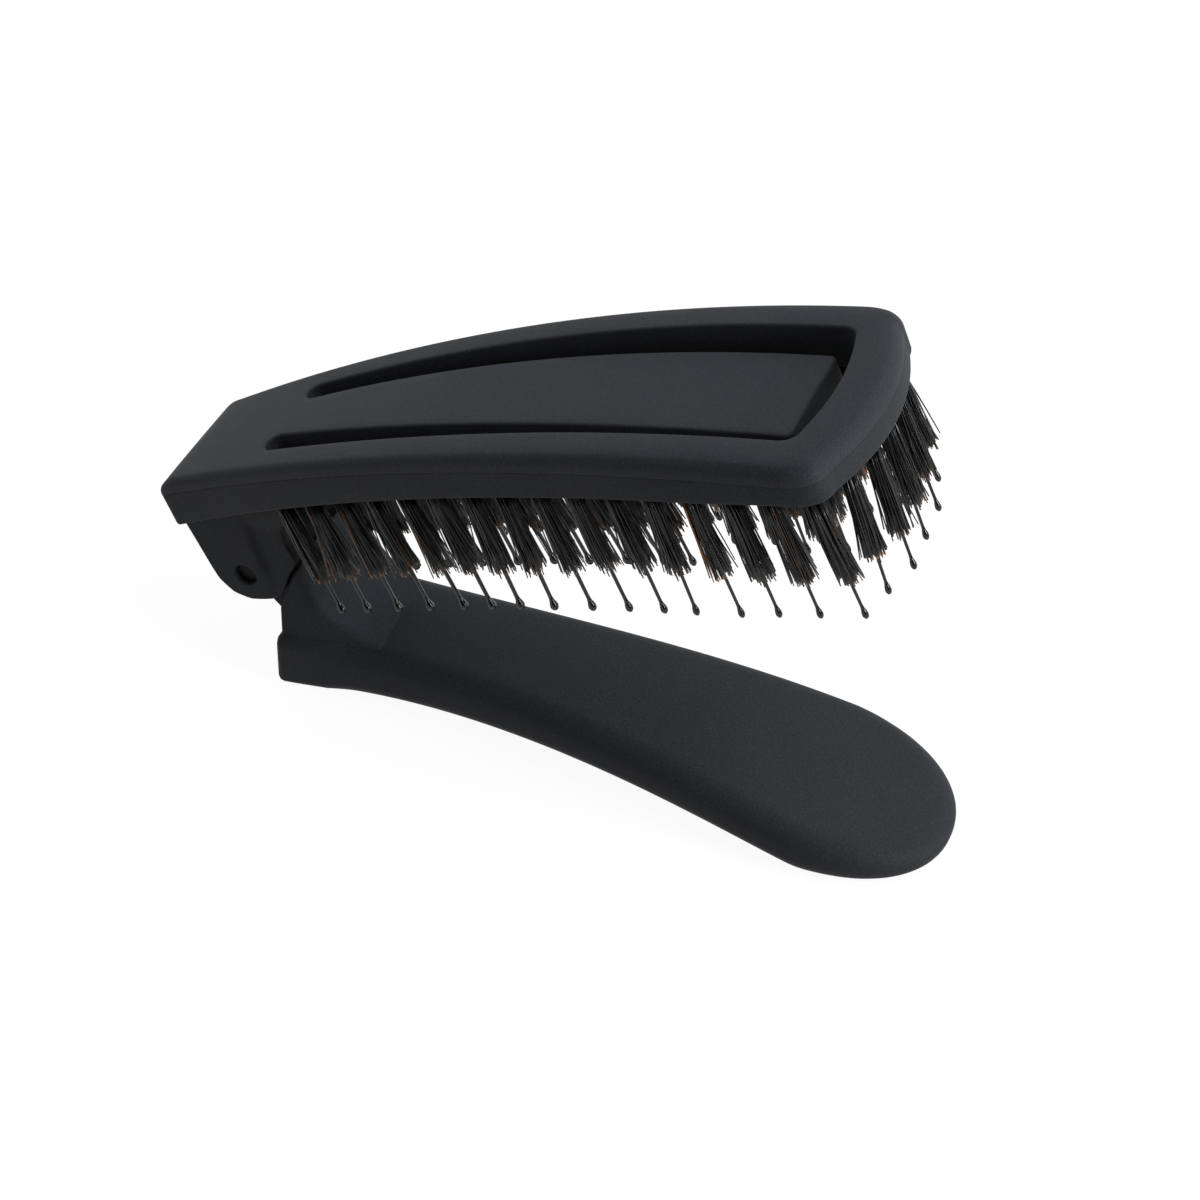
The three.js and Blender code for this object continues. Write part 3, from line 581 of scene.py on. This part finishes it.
shell_black = soft_touch("soft_touch_shell", (0.036, 0.037, 0.042))
body_black = soft_touch("soft_touch_body", (0.033, 0.034, 0.037), level=0.12)
# The head's walls and ears get a darker copy of the body's plastic: painted shade, for sides that face away
# from the light
shaded_wall_black = soft_touch("soft_touch_walls_painted_shade", (0.031, 0.032, 0.0345), level=0.12)
block_black = soft_touch("hinge_plastic", (0.0315, 0.0325, 0.0365), level=0.1)
backing_black = soft_touch("backing_rubber", (0.014, 0.014, 0.015), rough=0.55, grain=0.00001, fleck=0.3)
pin_black = glossy("pin_nylon", (0.008, 0.008, 0.009), 0.12, level=0.4)
# Near-black steel for the pin and the cover screws: partly painted shade, its tone set so low that the pin's
# end deep in the ear's hole reads as shade
dark_steel_with_painted_shade = glossy("dark_steel_with_painted_shade", (0.014, 0.014, 0.015), 0.55, metallic=1.0)
bright_steel = glossy("bright_steel", (0.42, 0.42, 0.43), 0.3, metallic=1.0)
white_nylon = glossy("white_nylon", (0.62, 0.6, 0.55), 0.5)
boar = hair_material()

# Head: the shell with its slot and sunk tongue
head_outline = head_loop()
slot_outline = slot_loop()


def tongue_share(xy):
    """How far along the tongue a point lies, or 0 off it."""
    u, y = xy[:, 0], np.abs(xy[:, 1])
    share = np.clip((u - slot_start) / (tongue_tip - slot_start), 0, 1.05)
    limit = (slot_outer(u) + tongue_half(u)) / 2
    within = (y < limit) & (u < tongue_tip + slot_width_tip / 2)
    return np.where(within, share, 0)


def end_round(xy, depth):
    """Drop of the head's back over the last millimetres before its hinge end."""
    near = np.clip(1 - (xy[:, 0] + head_behind) / end_round_reach, 0, 1)
    return depth * near ** 2


def near_edge(xy):
    """1 at the head's outer edge, falling to 0 a little way in."""
    return np.clip(1 - distance(xy, head_outline) / edge_reach, 0, 1)


def frame_rise(xy):
    """The frame round the tongue swells a little towards the tip, and falls to its outer edge."""
    swell = frame_swell * smooth(*swell_range, xy[:, 0]) * (tongue_share(xy) == 0)
    return swell * (1 - near_edge(xy) ** 2)


def shell_top(xy):
    crown = crown_on_top * (1 - (xy[:, 1] / half_at_tip) ** 2) - crown_drop
    sunk = tongue_sink * tongue_share(xy)
    return head_top(xy[:, 0]) + crown + frame_rise(xy) - sunk - end_round(xy, end_round_top)


def shell_bottom(xy):
    crown = crown_at_parting * (1 - (xy[:, 1] / head_half(xy[:, 0])) ** 2) - crown_drop
    sunk = tongue_sink_parting * tongue_share(xy)
    return head_top(xy[:, 0]) + crown - shell_thickness - sunk - end_round(xy, end_round_parting)


edge = lerp(edge_at_hinge, edge_round, smooth(-head_behind, 5 - head_behind, head_outline[:, 0]))
shell_rings = [(edge * a, edge * b) for a, b in round_rings(1, 7)]
shell_rings[0] = (shell_rings[0][0], 0.0)  # the flat part has one height for all its points
points, faces = slab(head_outline, [slot_outline], shell_rings, [(0.03, 0.0), (0.0, 0.025)], shell_top,
                     shell_bottom, spacing=1.4, hole_top=round_rings(0.4),
                     hole_bottom=[(0.05, 0.0), (0.0, 0.05)])
add_piece("head_shell_skin", points, faces, from_head, "head", shell_black,
          replaces=["head_shell"])

# Backings that carry the bristles, sunk a little into the head's underside
columns = [first_column + column_pitch * i for i in range(column_count)]


def corner_cut(u):
    return corner_cut_slope * np.maximum(0, u - (crown_start - corner_span))


def side_loop(side):
    us = np.linspace(strip_start, strip_end, 60)
    near = [[u, slot_outer(u) + wall + gap] for u in us]
    far = [[u, head_half(u) - wall - gap - corner_cut(u)] for u in us[::-1]]
    loop = rounded(near + far, 0.8, run_corners(60))
    if side < 0:
        loop = (loop * [1, -1])[::-1]
    return resampled(loop, backing_spacing)


def crown_inner(y, reach):
    return slot_tip + wall + gap - slot_bow * (y / reach) ** 2


def crown_loop():
    reach = slot_outer(slot_tip) - wall - gap
    ys = np.linspace(-reach, reach, 30)
    outer = [[crown_at(y) - wall - gap, y] for y in ys]
    inner = [[crown_inner(y, reach), y] for y in ys[::-1]]
    return resampled(rounded(outer + inner, 0.8, run_corners(30)), backing_spacing)


def pad_loop():
    us = np.linspace(pad_start, tongue_tip - wall - gap, 50)
    near = [[u, -(tongue_half(u) - wall - gap)] for u in us]
    far = [[u, tongue_half(u) - wall - gap] for u in us[::-1]]
    return resampled(rounded(near + far, 1.0, run_corners(50)), backing_spacing)


def side_places(side):
    us = [min(c, strip_end - place_margin) for c in columns]
    if side > 0:
        us[-2] -= far_shift
    return [(u, side * (slot_outer(u) + head_half(u) - corner_cut(u)) / 2) for u in us]


def crown_places():
    reach = slot_outer(slot_tip) - wall - gap
    ys = np.linspace(-crown_tuft_share * reach, crown_tuft_share * reach, crown_tufts)
    return [((crown_inner(y, reach) + crown_at(y) - wall - gap) / 2, y) for y in ys]


def pad_places():
    places = []
    for u in columns:
        if pad_start + place_margin < u < tongue_tip - wall - place_margin:
            half = tongue_half(u) - wall - gap - place_margin
            rows = max(1, int(2 * half / row_pitch))
            places += [(u, y) for y in np.linspace(-half, half, rows + 1)]
    return places


backings = {
    "bristle_strip_near": (side_loop(-1), side_places(-1)),
    "bristle_strip_far": (side_loop(1), side_places(1)),
    "bristle_strip_tip": (crown_loop(), crown_places()),
    "bristle_pad": (pad_loop(), pad_places()),
}


# Head: the walls under the shell, with pockets for the backings
def body_top(xy):
    return shell_bottom(xy) - lerp(parting_at_hinge, parting_along, smooth(*parting_range, xy[:, 0]))


def body_bottom(xy):
    return head_under(xy[:, 0]) + tip_lift * smooth(*lift_range, xy[:, 0]) * near_edge(xy)


wells = [inset(loop, -pocket_slack) for loop, _ in backings.values()]
points, faces = slab(head_outline, [slot_outline], [(0.04, 0.0), (0.0, 0.03)], round_rings(0.55), body_top,
                     body_bottom, spacing=1.6, pockets=wells, depth=pocket_depth,
                     hole_top=[(0.06, 0.0), (0.0, 0.05)], hole_bottom=round_rings(0.35))
head_parts = [(points, faces)]


# The ears, outlined from the side and set out from the middle plane
def softened(loop, rounds):
    """Chaikin corner cutting, which keeps the long straight runs."""
    loop = np.asarray(loop, float)
    for _ in range(rounds):
        after = np.roll(loop, -1, 0)
        step = np.linalg.norm(after - loop, axis=1)[:, None]
        cut = np.minimum(0.25 * step, 0.4) / step
        loop = np.stack([loop + (after - loop) * cut, after + (loop - after) * cut], 1).reshape(-1, 2)
    return loop


def circle(radius, count, centre=(0, 0)):
    a = np.linspace(0, 2 * math.pi, count, endpoint=False)
    return np.stack([centre[0] + radius * np.cos(a), centre[1] + radius * np.sin(a)], -1)


def ear_face(xy):
    front = smooth(*recess_range, xy[:, 0] - recess_slant * xy[:, 1])
    return ear_outer - ear_recess * front * smooth(*recess_heights, xy[:, 1])


def ear_back(xy):
    return np.full(len(xy), ear_inner)


loop = counter_clockwise(resampled(softened(ear_line, 3), 0.4))
points, faces = slab(loop, [circle(pin_hole, 36)], round_rings(0.35), round_rings(0.3, 3), ear_face,
                     ear_back, spacing=0.45, hole_top=round_rings(0.15, 3))
head_parts += [(points[:, [0, 2, 1]] * [1, side, 1], faces) for side in (-1, 1)]
points, faces = joined(head_parts)
# Walls and ears in the darker copy of the body plastic, which is painted shade
add_piece("head_body_skin", points, faces, from_head, "head", shaded_wall_black,
          replaces=["head_body"])


# Bristles: backings with a collar round each tuft, ball-tipped pins and fanned hair
def lathe(profile, sides, start, end):
    """Turns (distance along, radius) pairs round the line from start to end."""
    start, end = np.asarray(start, float), np.asarray(end, float)
    axis = end - start
    length = np.linalg.norm(axis)
    axis /= length
    across = np.cross(axis, [0.3, 1, 0.2])
    across /= np.linalg.norm(across)
    other = np.cross(axis, across)
    points, faces = [], []
    for place, radius in profile:
        for k in range(sides):
            a = 2 * math.pi * k / sides
            points.append(start + axis * place + (across * math.cos(a) + other * math.sin(a)) * radius)
    for i in range(len(profile) - 1):
        for k in range(sides):
            j = (k + 1) % sides
            faces.append((i * sides + k, i * sides + j, (i + 1) * sides + j, (i + 1) * sides + k))
    points += [start + axis * profile[0][0], start + axis * profile[-1][0]]
    n = len(points)
    last = (len(profile) - 1) * sides
    for k in range(sides):
        j = (k + 1) % sides
        faces.append((n - 2, j, k))
        faces.append((n - 1, last + k, last + j))
    return np.array(points), faces


chance = random.Random(7)


def pin_tip(node, index, u, y):
    lean_u = chance.uniform(-pin_lean_u, pin_lean_u)
    lean_y = chance.uniform(-pin_lean_y, pin_lean_y)
    if node == "bristle_strip_near":
        lean_u = near_tip_u[index] - u
        lean_y = 0.15 * lean_y + 0.8 * float(smooth(20, 100, u))
    if node == "bristle_strip_far" and index == len(columns) - 1:
        lean_u, lean_y = 1.5, -0.5
    if node == "bristle_pad":
        lean_u = 0.4 * lean_u + float(np.interp(u, *np.transpose(pad_leans)))
        lean_y = 0.4 * lean_y + 0.9 - (1 - lerp(0.8, 0.97, float(smooth(70, 96, u)))) * y
    if node == "bristle_strip_tip":
        lean_u, lean_y = crown_tips[index][0] - u, crown_tips[index][1] - y
    lift = float(np.interp(u, *np.transpose(pin_lifts)))
    return np.array([u + lean_u, y + lean_y, head_under(u) - pin_reach + lift])


def pin_mesh(root, tip):
    length = np.linalg.norm(tip - root)
    along = float(smooth(*thin_range, tip[0]))
    ball, share = lerp(ball_size, ball_size_at_tip, along), lerp(1.0, thin_share, along)
    profile = [(0, 0.4 * share), (3, 0.36 * share), (length - 2.8, 0.31 * share)]
    return lathe(profile + [(length - back, ball * part) for back, part in pin_drop], 12, root, tip)


def hair_mesh(u, y, tuft_lean, points, faces, tones):
    """One tuft: strands set close together round the pin, in locks that part a little towards their ends."""
    base = head_under(u) + hair_foot
    locks = [(chance.uniform(0, 2 * math.pi), chance.uniform(0.2, 1.0), chance.gauss(0, 0.55))
             for _ in range(locks_per_tuft)]
    cut = chance.gauss(0, 0.35)
    for _ in range(hairs_per_tuft):
        a = chance.uniform(0, 2 * math.pi)
        r = tuft_root * math.sqrt(chance.random())
        root = np.array([u + r * math.cos(a), y + r * math.sin(a), base])
        lock_a, lock_r, lock_cut = chance.choice(locks)
        spread = np.array([math.cos(lock_a), math.sin(lock_a)]) * lock_r * lock_spread
        own = np.array([math.cos(a), math.sin(a)]) * r * root_spread
        jitter = np.array([chance.gauss(0, hair_jitter), chance.gauss(0, hair_jitter)])
        stray = chance.random() < stray_share
        lean = (spread + own + jitter) * (stray_lean if stray else 1.0) + tuft_lean
        length = hair_length + cut + 0.6 * lock_cut - abs(chance.gauss(0, 0.55))
        if stray:
            length -= stray_short * chance.random()
        bow = np.array([chance.gauss(0, hair_bow), chance.gauss(0, hair_bow)])
        thick = chance.uniform(0.12, 0.17)
        tone = chance.random()
        turn = chance.uniform(0, 2 * math.pi)
        first = len(points)
        for i in range(hair_steps):
            t = i / (hair_steps - 1)
            off = lean * t ** 1.3 + bow * math.sin(math.pi * t)
            centre = root + np.array([off[0], off[1], -length * t])
            radius = thick * (1 - 0.25 * t * t)
            for k in range(hair_sides):
                b = turn + 2 * math.pi * k / hair_sides
                points.append(centre + [radius * math.cos(b), radius * math.sin(b), 0])
                tones.append((tone, t))
        for i in range(hair_steps - 1):
            low = first + hair_sides * i
            for k in range(hair_sides):
                j = (k + 1) % hair_sides
                faces.append((low + k, low + j, low + hair_sides + j, low + hair_sides + k))
        faces.append((first + 2, first + 1, first))
        top = first + hair_sides * (hair_steps - 1)
        faces.append((top, top + 1, top + 2))


def backing_low(xy):
    return head_under(xy[:, 0]) + backing_sunk


def backing_high(xy):
    return head_under(xy[:, 0]) + backing_top


for node, (loop, places) in backings.items():
    parts = [slab(loop, [], [(0.0, 0.0), (0.0, 0.01)], round_rings(0.35, 4), backing_high, backing_low,
                  spacing=1.6)]
    for u, y in places:
        start = np.array([u, y, head_under(u) + collar_foot])
        parts.append(lathe(collar, 16, start, start - [0, 0, 1]))
    points, faces = joined(parts)
    add_piece(node + "_backing", points, faces, from_head, "head", backing_black,
              replaces=[node])
    tips = [pin_tip(node, index, u, y) for index, (u, y) in enumerate(places)]
    parts = [pin_mesh(np.array([u, y, head_under(u) + pin_foot]), tip) for (u, y), tip in zip(places, tips)]
    points, faces = joined(parts)
    add_piece(node + "_pins", points, faces, from_head, "head", pin_black, replaces=[node])
    points, faces, tones = [], [], []
    for (u, y), tip in zip(places, tips):
        hair_mesh(u, y, 0.7 * (tip[:2] - [u, y]), points, faces, tones)
    hair = add_piece(node + "_hair", np.array(points), faces, from_head, "head", boar, 0,
                     replaces=[node])
    layer = hair.data.color_attributes.new("strand", "FLOAT_COLOR", "POINT")
    flat = np.ones((len(points), 4), np.float32)
    flat[:, 0] = [t[0] for t in tones]
    flat[:, 1] = [t[1] for t in tones]
    layer.data.foreach_set("color", flat.ravel())


# Hinge block: a ramp with rounded shoulders, a tower between the ears and the knuckle round the pin
def ramp_line(s):
    foot_z = handle_face(ramp_foot) - 0.1
    x = cubic(shoulder_tip, shoulder_tip + 1.4, ramp_foot - 7.5, ramp_foot, s)
    z = cubic(5.9, -2.1, foot_z + 1.2, foot_z, s)
    return x, z


def shoulder_x(z):
    heights, reaches = np.transpose(shoulder_line)
    return np.interp(z, heights, block_start + reaches)


def wedge_mesh():
    stations, points, faces = 40, [], []
    for i in range(stations + 1):
        s = i / stations
        xt, zt = ramp_line(s)
        xb = lerp(block_start, ramp_foot, s)
        base_z = handle_face(max(xb, handle_start)) - 1.2
        wide = lerp(wedge_half, wedge_half_at_foot, smooth(0.05, 1.0, s) * 0.55 + 0.45 * s)
        height = max(zt - base_z, 0.05)
        radius = min(lerp(wedge_round, wedge_round_at_foot, s ** 0.7), 0.75 * height)
        lean = min(0.35, 0.05 * height)
        half = [(wide, base_z), (wide - 0.4 * lean, lerp(base_z, zt - radius, 0.5)),
                (wide - lean, zt - radius)]
        for a in np.linspace(0, math.pi / 2, 9)[1:]:
            half.append((wide - lean - radius * (1 - math.cos(a)), zt - radius + radius * math.sin(a)))
        half.append((0, zt + 0.15 * (1 - s)))
        section = half + [(-y, z) for y, z in half[-2::-1]]
        for y, z in section:
            up = (z - base_z) / height
            rear = (shoulder_x(z) - block_start) / (shoulder_tip - block_start)
            share = lerp(rear, up, smooth(0.0, 0.5, s)) if zt > -3 else up
            points.append([lerp(xb, xt, share), y, z])
    size = len(section)
    for i in range(stations):
        for k in range(size - 1):
            a = i * size + k
            faces.append((a, a + 1, a + size + 1, a + size))
        a, b = i * size, i * size + size - 1
        faces.append((b, a, a + size, b + size))
    faces.append(tuple(range(size))[::-1])
    faces.append(tuple(stations * size + k for k in range(size)))
    return np.array(points), faces


def prism(line, half_width):
    n = len(line)
    points = [[x, -half_width, z] for x, z in line] + [[x, half_width, z] for x, z in line]
    faces = [tuple(range(n)), tuple(range(n, 2 * n))[::-1]]
    faces += [(i, (i + 1) % n, n + (i + 1) % n, n + i) for i in range(n)]
    return np.array(points, float), faces


def melted(name, parts, voxel, rounds, place, body, material, replaces):
    """Joins overlapping solids into one skin and softens its edges."""
    points, faces = joined(parts)
    piece = add_piece(name, points, faces, place, body, material, 0, replaces)
    remesh = piece.modifiers.new("one_skin", "REMESH")
    remesh.mode = "VOXEL"
    remesh.voxel_size = voxel / 1000
    soften = piece.modifiers.new("soften", "SMOOTH")
    soften.factor = 0.5
    soften.iterations = rounds
    bpy.context.view_layer.update()
    graph = bpy.context.evaluated_depsgraph_get()
    baked = bpy.data.meshes.new_from_object(piece.evaluated_get(graph), depsgraph=graph)
    piece.modifiers.clear()
    piece.data = baked
    baked.shade_smooth()


arc = [math.radians(a) for a in np.linspace(31, 78, 10)]
tower = [[shoulder_tip, tower_foot], [shoulder_tip, 4.9]]
tower += [[tower_radius * math.cos(a), tower_radius * math.sin(a)] for a in arc]
tower += [[0.2, 1.0], [-1.5, -4.38], [block_start, -11.0], [block_start, tower_foot]]
knuckle = lathe([(0, knuckle_radius), (2 * knuckle_half, knuckle_radius)], 48, [0, -knuckle_half, 0],
                [0, knuckle_half, 0])
melted("hinge_block_skin", [wedge_mesh(), prism(tower, knuckle_half), knuckle], block_voxel, block_rounds,
       from_handle, "handle", block_black, ["hinge_block"])

# Handle: a rounded paddle with a soft fillet round the foot of the hinge block
half = [[x, handle_half(x)] for x in np.linspace(handle_start, side_end, 70)]
for a in np.linspace(0, math.pi / 2, 34)[1:]:
    along, across = math.sin(a) ** end_fullness, max(0.0, math.cos(a)) ** end_fullness
    half.append([side_end + handle_end_span * along, handle_half(side_end) * across])
half[-1][1] = 0
loop = np.concatenate([half, np.array(half[-2::-1]) * [1, -1]])[::-1]
handle_outline = resampled(rounded(loop, handle_start_round, (0, len(loop) - 1)), 0.7)


def handle_top(xy):
    x, y = xy[:, 0], xy[:, 1]
    crown = handle_crown * (y / handle_half(np.minimum(x, side_end))) ** 2
    away = np.where(inside(xy, block_foot), 0, distance(xy, block_foot))
    rise = fillet_reach - np.sqrt(np.maximum(0, fillet_reach ** 2 - (fillet_reach - away) ** 2))
    fillet = np.where(away < fillet_reach, rise, 0)
    return handle_face(x) - crown + fillet_share * fillet * (1 - smooth(*fillet_range, x))


def handle_bottom(xy):
    return handle_under(xy[:, 0])


def edge_rings(loop, count):
    x = loop[:, 0]
    thick = handle_face(x) - handle_under(x)
    wide = lerp(edge_at_start, edge_along, smooth(handle_start, edge_end, x))
    deep = np.minimum(wide, 0.46 * thick)
    turns = np.linspace(0, math.pi / 2, count)
    return [(wide * (1 - math.sin(a)), deep * (1 - math.cos(a))) for a in turns]


def cover_loop(edge):
    """The cover's outline, or its pocket's, as far out as the edge says."""
    start = handle_start + cover_from - edge + cover_rim
    end = handle_end - cover_short - cover_rim + edge
    xs = np.linspace(start, end, 50)
    past = np.maximum(0, xs - side_end) / handle_end_span
    w = handle_half(np.minimum(xs, side_end)) * np.sqrt(1 - past ** 2) - cover_wall - cover_rim + edge
    near = np.stack([xs, -w], -1)
    far = np.stack([xs, w], -1)[::-1]
    return resampled(rounded(np.concatenate([near, far]), cover_corner, run_corners(50)), 0.9)


rings = edge_rings(handle_outline, 10)
rings[0] = (rings[0][0], 0.0)  # the flat part has one height for all its points
points, faces = slab(handle_outline, [], rings, rings, handle_top, handle_bottom, spacing=1.3,
                     pockets=[cover_loop(cover_rim + 0.2)], depth=cover_pocket)
add_piece("handle_skin", points, faces, from_handle, "handle", body_black,
          replaces=["handle_body"])


# Cover under the handle, its screws, and the pin with its bush and washers
def cover_low(xy):
    return handle_under(xy[:, 0]) + cover_sunk


def cover_high(xy):
    return handle_under(xy[:, 0]) + cover_top


seats = [circle(screw_seat, 30, (x, 0)) for x in screw_x]
points, faces = slab(cover_loop(cover_rim - 0.05), seats, [(0.0, 0.0), (0.0, 0.01)], round_rings(0.3, 4),
                     cover_high, cover_low, spacing=1.6)
add_piece("handle_cover_plate", points, faces, from_handle, "handle", block_black,
          replaces=["handle_cover"])

for i, x in enumerate(screw_x, 1):
    z = float(handle_under(np.array([x]))[0]) + screw_sunk
    points, faces = joined([lathe(line, sides, [x, 0, z], [x, 0, z + 1]) for line, sides in screw_lines])
    add_piece(f"cover_screw_{i}_steel", points, faces, from_handle, "handle", dark_steel_with_painted_shade,
              replaces=[f"cover_screw_{i}"])
pin_line = pin_head + [(2 * pin_end - along, radius) for along, radius in pin_head[::-1]]
points, faces = lathe(pin_line, 40, [0, -pin_end, 0], [0, pin_end, 0])
# The pin's near-black steel is partly painted shade for its end in the ear's hole
add_piece("hinge_pin_rod", points, faces, from_head, "head", dark_steel_with_painted_shade, replaces=["hinge_pin"])
for name, material in (("hinge_bush", white_nylon), ("washer_near", bright_steel),
                       ("washer_far", bright_steel), ("tang_screw_1", bright_steel),
                       ("tang_screw_2", bright_steel)):
    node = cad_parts[name]
    node.data.materials.clear()
    node.data.materials.append(material)

# Floor and light: what the camera sees is white, what lights the object is softer
def maths(nodes, links, operation, first, second, clamp=False):
    """A Math node on two values, each a number or another node's output."""
    node = nodes.new("ShaderNodeMath")
    node.operation = operation
    node.use_clamp = clamp
    for socket, value in zip(node.inputs, (first, second)):
        if isinstance(value, (int, float)):
            socket.default_value = value
        else:
            links.new(value, socket)
    return node.outputs[0]


def shown(nodes, links, rays, lit, seen, output):
    """Shows one shader to the named kinds of rays, and lights the scene with the other."""
    path = nodes.new("ShaderNodeLightPath")
    choice = nodes.new("ShaderNodeMixShader")
    links.new(maths(nodes, links, "MAXIMUM", *(path.outputs[ray] for ray in rays)), choice.inputs["Fac"])
    links.new(lit.outputs[0], choice.inputs[1])
    links.new(seen.outputs[0], choice.inputs[2])
    links.new(choice.outputs[0], output.inputs["Surface"])


size = 3.0
corners = [(-size, -size, 0), (size, -size, 0), (size, size, 0), (-size, size, 0)]
floor_mesh = bpy.data.meshes.new("floor")
floor_mesh.from_pydata(corners, [], [(0, 1, 2, 3)])
floor = bpy.data.objects.new("floor", floor_mesh)
bpy.context.scene.collection.objects.link(floor)
paper, nodes, links, bsdf = new_material("pale_paper")
nodes.remove(bsdf)
plain = nodes.new("ShaderNodeBsdfDiffuse")
plain.inputs["Color"].default_value = (0.45, 0.45, 0.45, 1)
shadow = nodes.new("ShaderNodeBsdfDiffuse")
shadow.inputs["Color"].default_value = (0.11, 0.11, 0.11, 1)
glow = nodes.new("ShaderNodeEmission")
glow.inputs["Strength"].default_value = 0.94
both = nodes.new("ShaderNodeAddShader")
links.new(shadow.outputs[0], both.inputs[0])
links.new(glow.outputs[0], both.inputs[1])
shown(nodes, links, ("Is Camera Ray", "Is Glossy Ray"), plain, both, nodes["Material Output"])
floor_mesh.materials.append(paper)

world = bpy.data.worlds.new("studio")
bpy.context.scene.world = world
world.use_nodes = True
nodes, links = world.node_tree.nodes, world.node_tree.links
nodes.clear()
sky = nodes.new("ShaderNodeBackground")
sky.inputs["Color"].default_value = (0.95, 0.975, 1.0, 1)
way = nodes.new("ShaderNodeTexCoord")
split = nodes.new("ShaderNodeSeparateXYZ")
links.new(way.outputs["Generated"], split.inputs["Vector"])


def share_of_sky(axis, sign, power, weight):
    """Light that comes from one side of the room and fades away from it."""
    turned = maths(nodes, links, "MULTIPLY", split.outputs[axis], sign, clamp=True)
    return maths(nodes, links, "MULTIPLY", maths(nodes, links, "POWER", turned, power), weight)


total = share_of_sky("Z", 1, 4, 0.3)
for side in (share_of_sky("X", -1, 2, 0.9), share_of_sky("Y", 1, 2, 1.55)):
    total = maths(nodes, links, "ADD", total, side)
links.new(total, sky.inputs["Strength"])
white = nodes.new("ShaderNodeBackground")
white.inputs["Color"].default_value = (1, 1, 1, 1)
white.inputs["Strength"].default_value = 1.0
shown(nodes, links, ("Is Camera Ray", "Is Transmission Ray"), sky, white, nodes.new("ShaderNodeOutputWorld"))


def softbox(name, place, aim, width, height, watts, colour=(1, 1, 1)):
    lamp = bpy.data.lights.new(name, "AREA")
    lamp.shape = "RECTANGLE"
    lamp.size, lamp.size_y = width, height
    lamp.energy = watts
    lamp.color = colour
    box = bpy.data.objects.new(name, lamp)
    bpy.context.scene.collection.objects.link(box)
    box.location = place
    box.rotation_euler = (Vector(aim) - Vector(place)).to_track_quat("-Z", "Y").to_euler()


softbox("key_box", (0.35, 0.15, 0.85), (0.04, 0, 0.03), 0.4, 0.4, 1.4, (0.97, 0.98, 1.0))
softbox("right_box", (0.85, -0.05, 0.36), (0.08, 0, 0.03), 0.3, 0.3, 5.5, (0.95, 0.97, 1.0))

# Camera at the photograph's angle
azimuth, elevation, roll = math.radians(20.583), math.radians(43.161), math.radians(3.081)
camera_distance, focal_pixels, photo_pixels, sensor = 0.39709, 2658.6, 1200, 36
back = Vector((math.sin(azimuth) * math.cos(elevation), -math.cos(azimuth) * math.cos(elevation),
               math.sin(elevation)))
target = Vector((0.0435, 0.0, 0.02725))
right = (-back).cross(Vector((0, 0, 1))).normalized()
up = right.cross(-back)
turned_right = right * math.cos(roll) + up * math.sin(roll)
turned_up = -right * math.sin(roll) + up * math.cos(roll)
lens = bpy.data.cameras.new("photo_camera")
lens.sensor_width = sensor
lens.lens = focal_pixels / photo_pixels * sensor
lens.clip_start = 0.01
camera = bpy.data.objects.new("photo_camera", lens)
bpy.context.scene.collection.objects.link(camera)
place = target + back * camera_distance
axes = (turned_right, turned_up, back, place)
camera.matrix_world = Matrix([[axis[i] for axis in axes] for i in range(3)] + [[0, 0, 0, 1]])
bpy.context.scene.camera = camera
bpy.context.scene.view_settings.view_transform = "Standard"
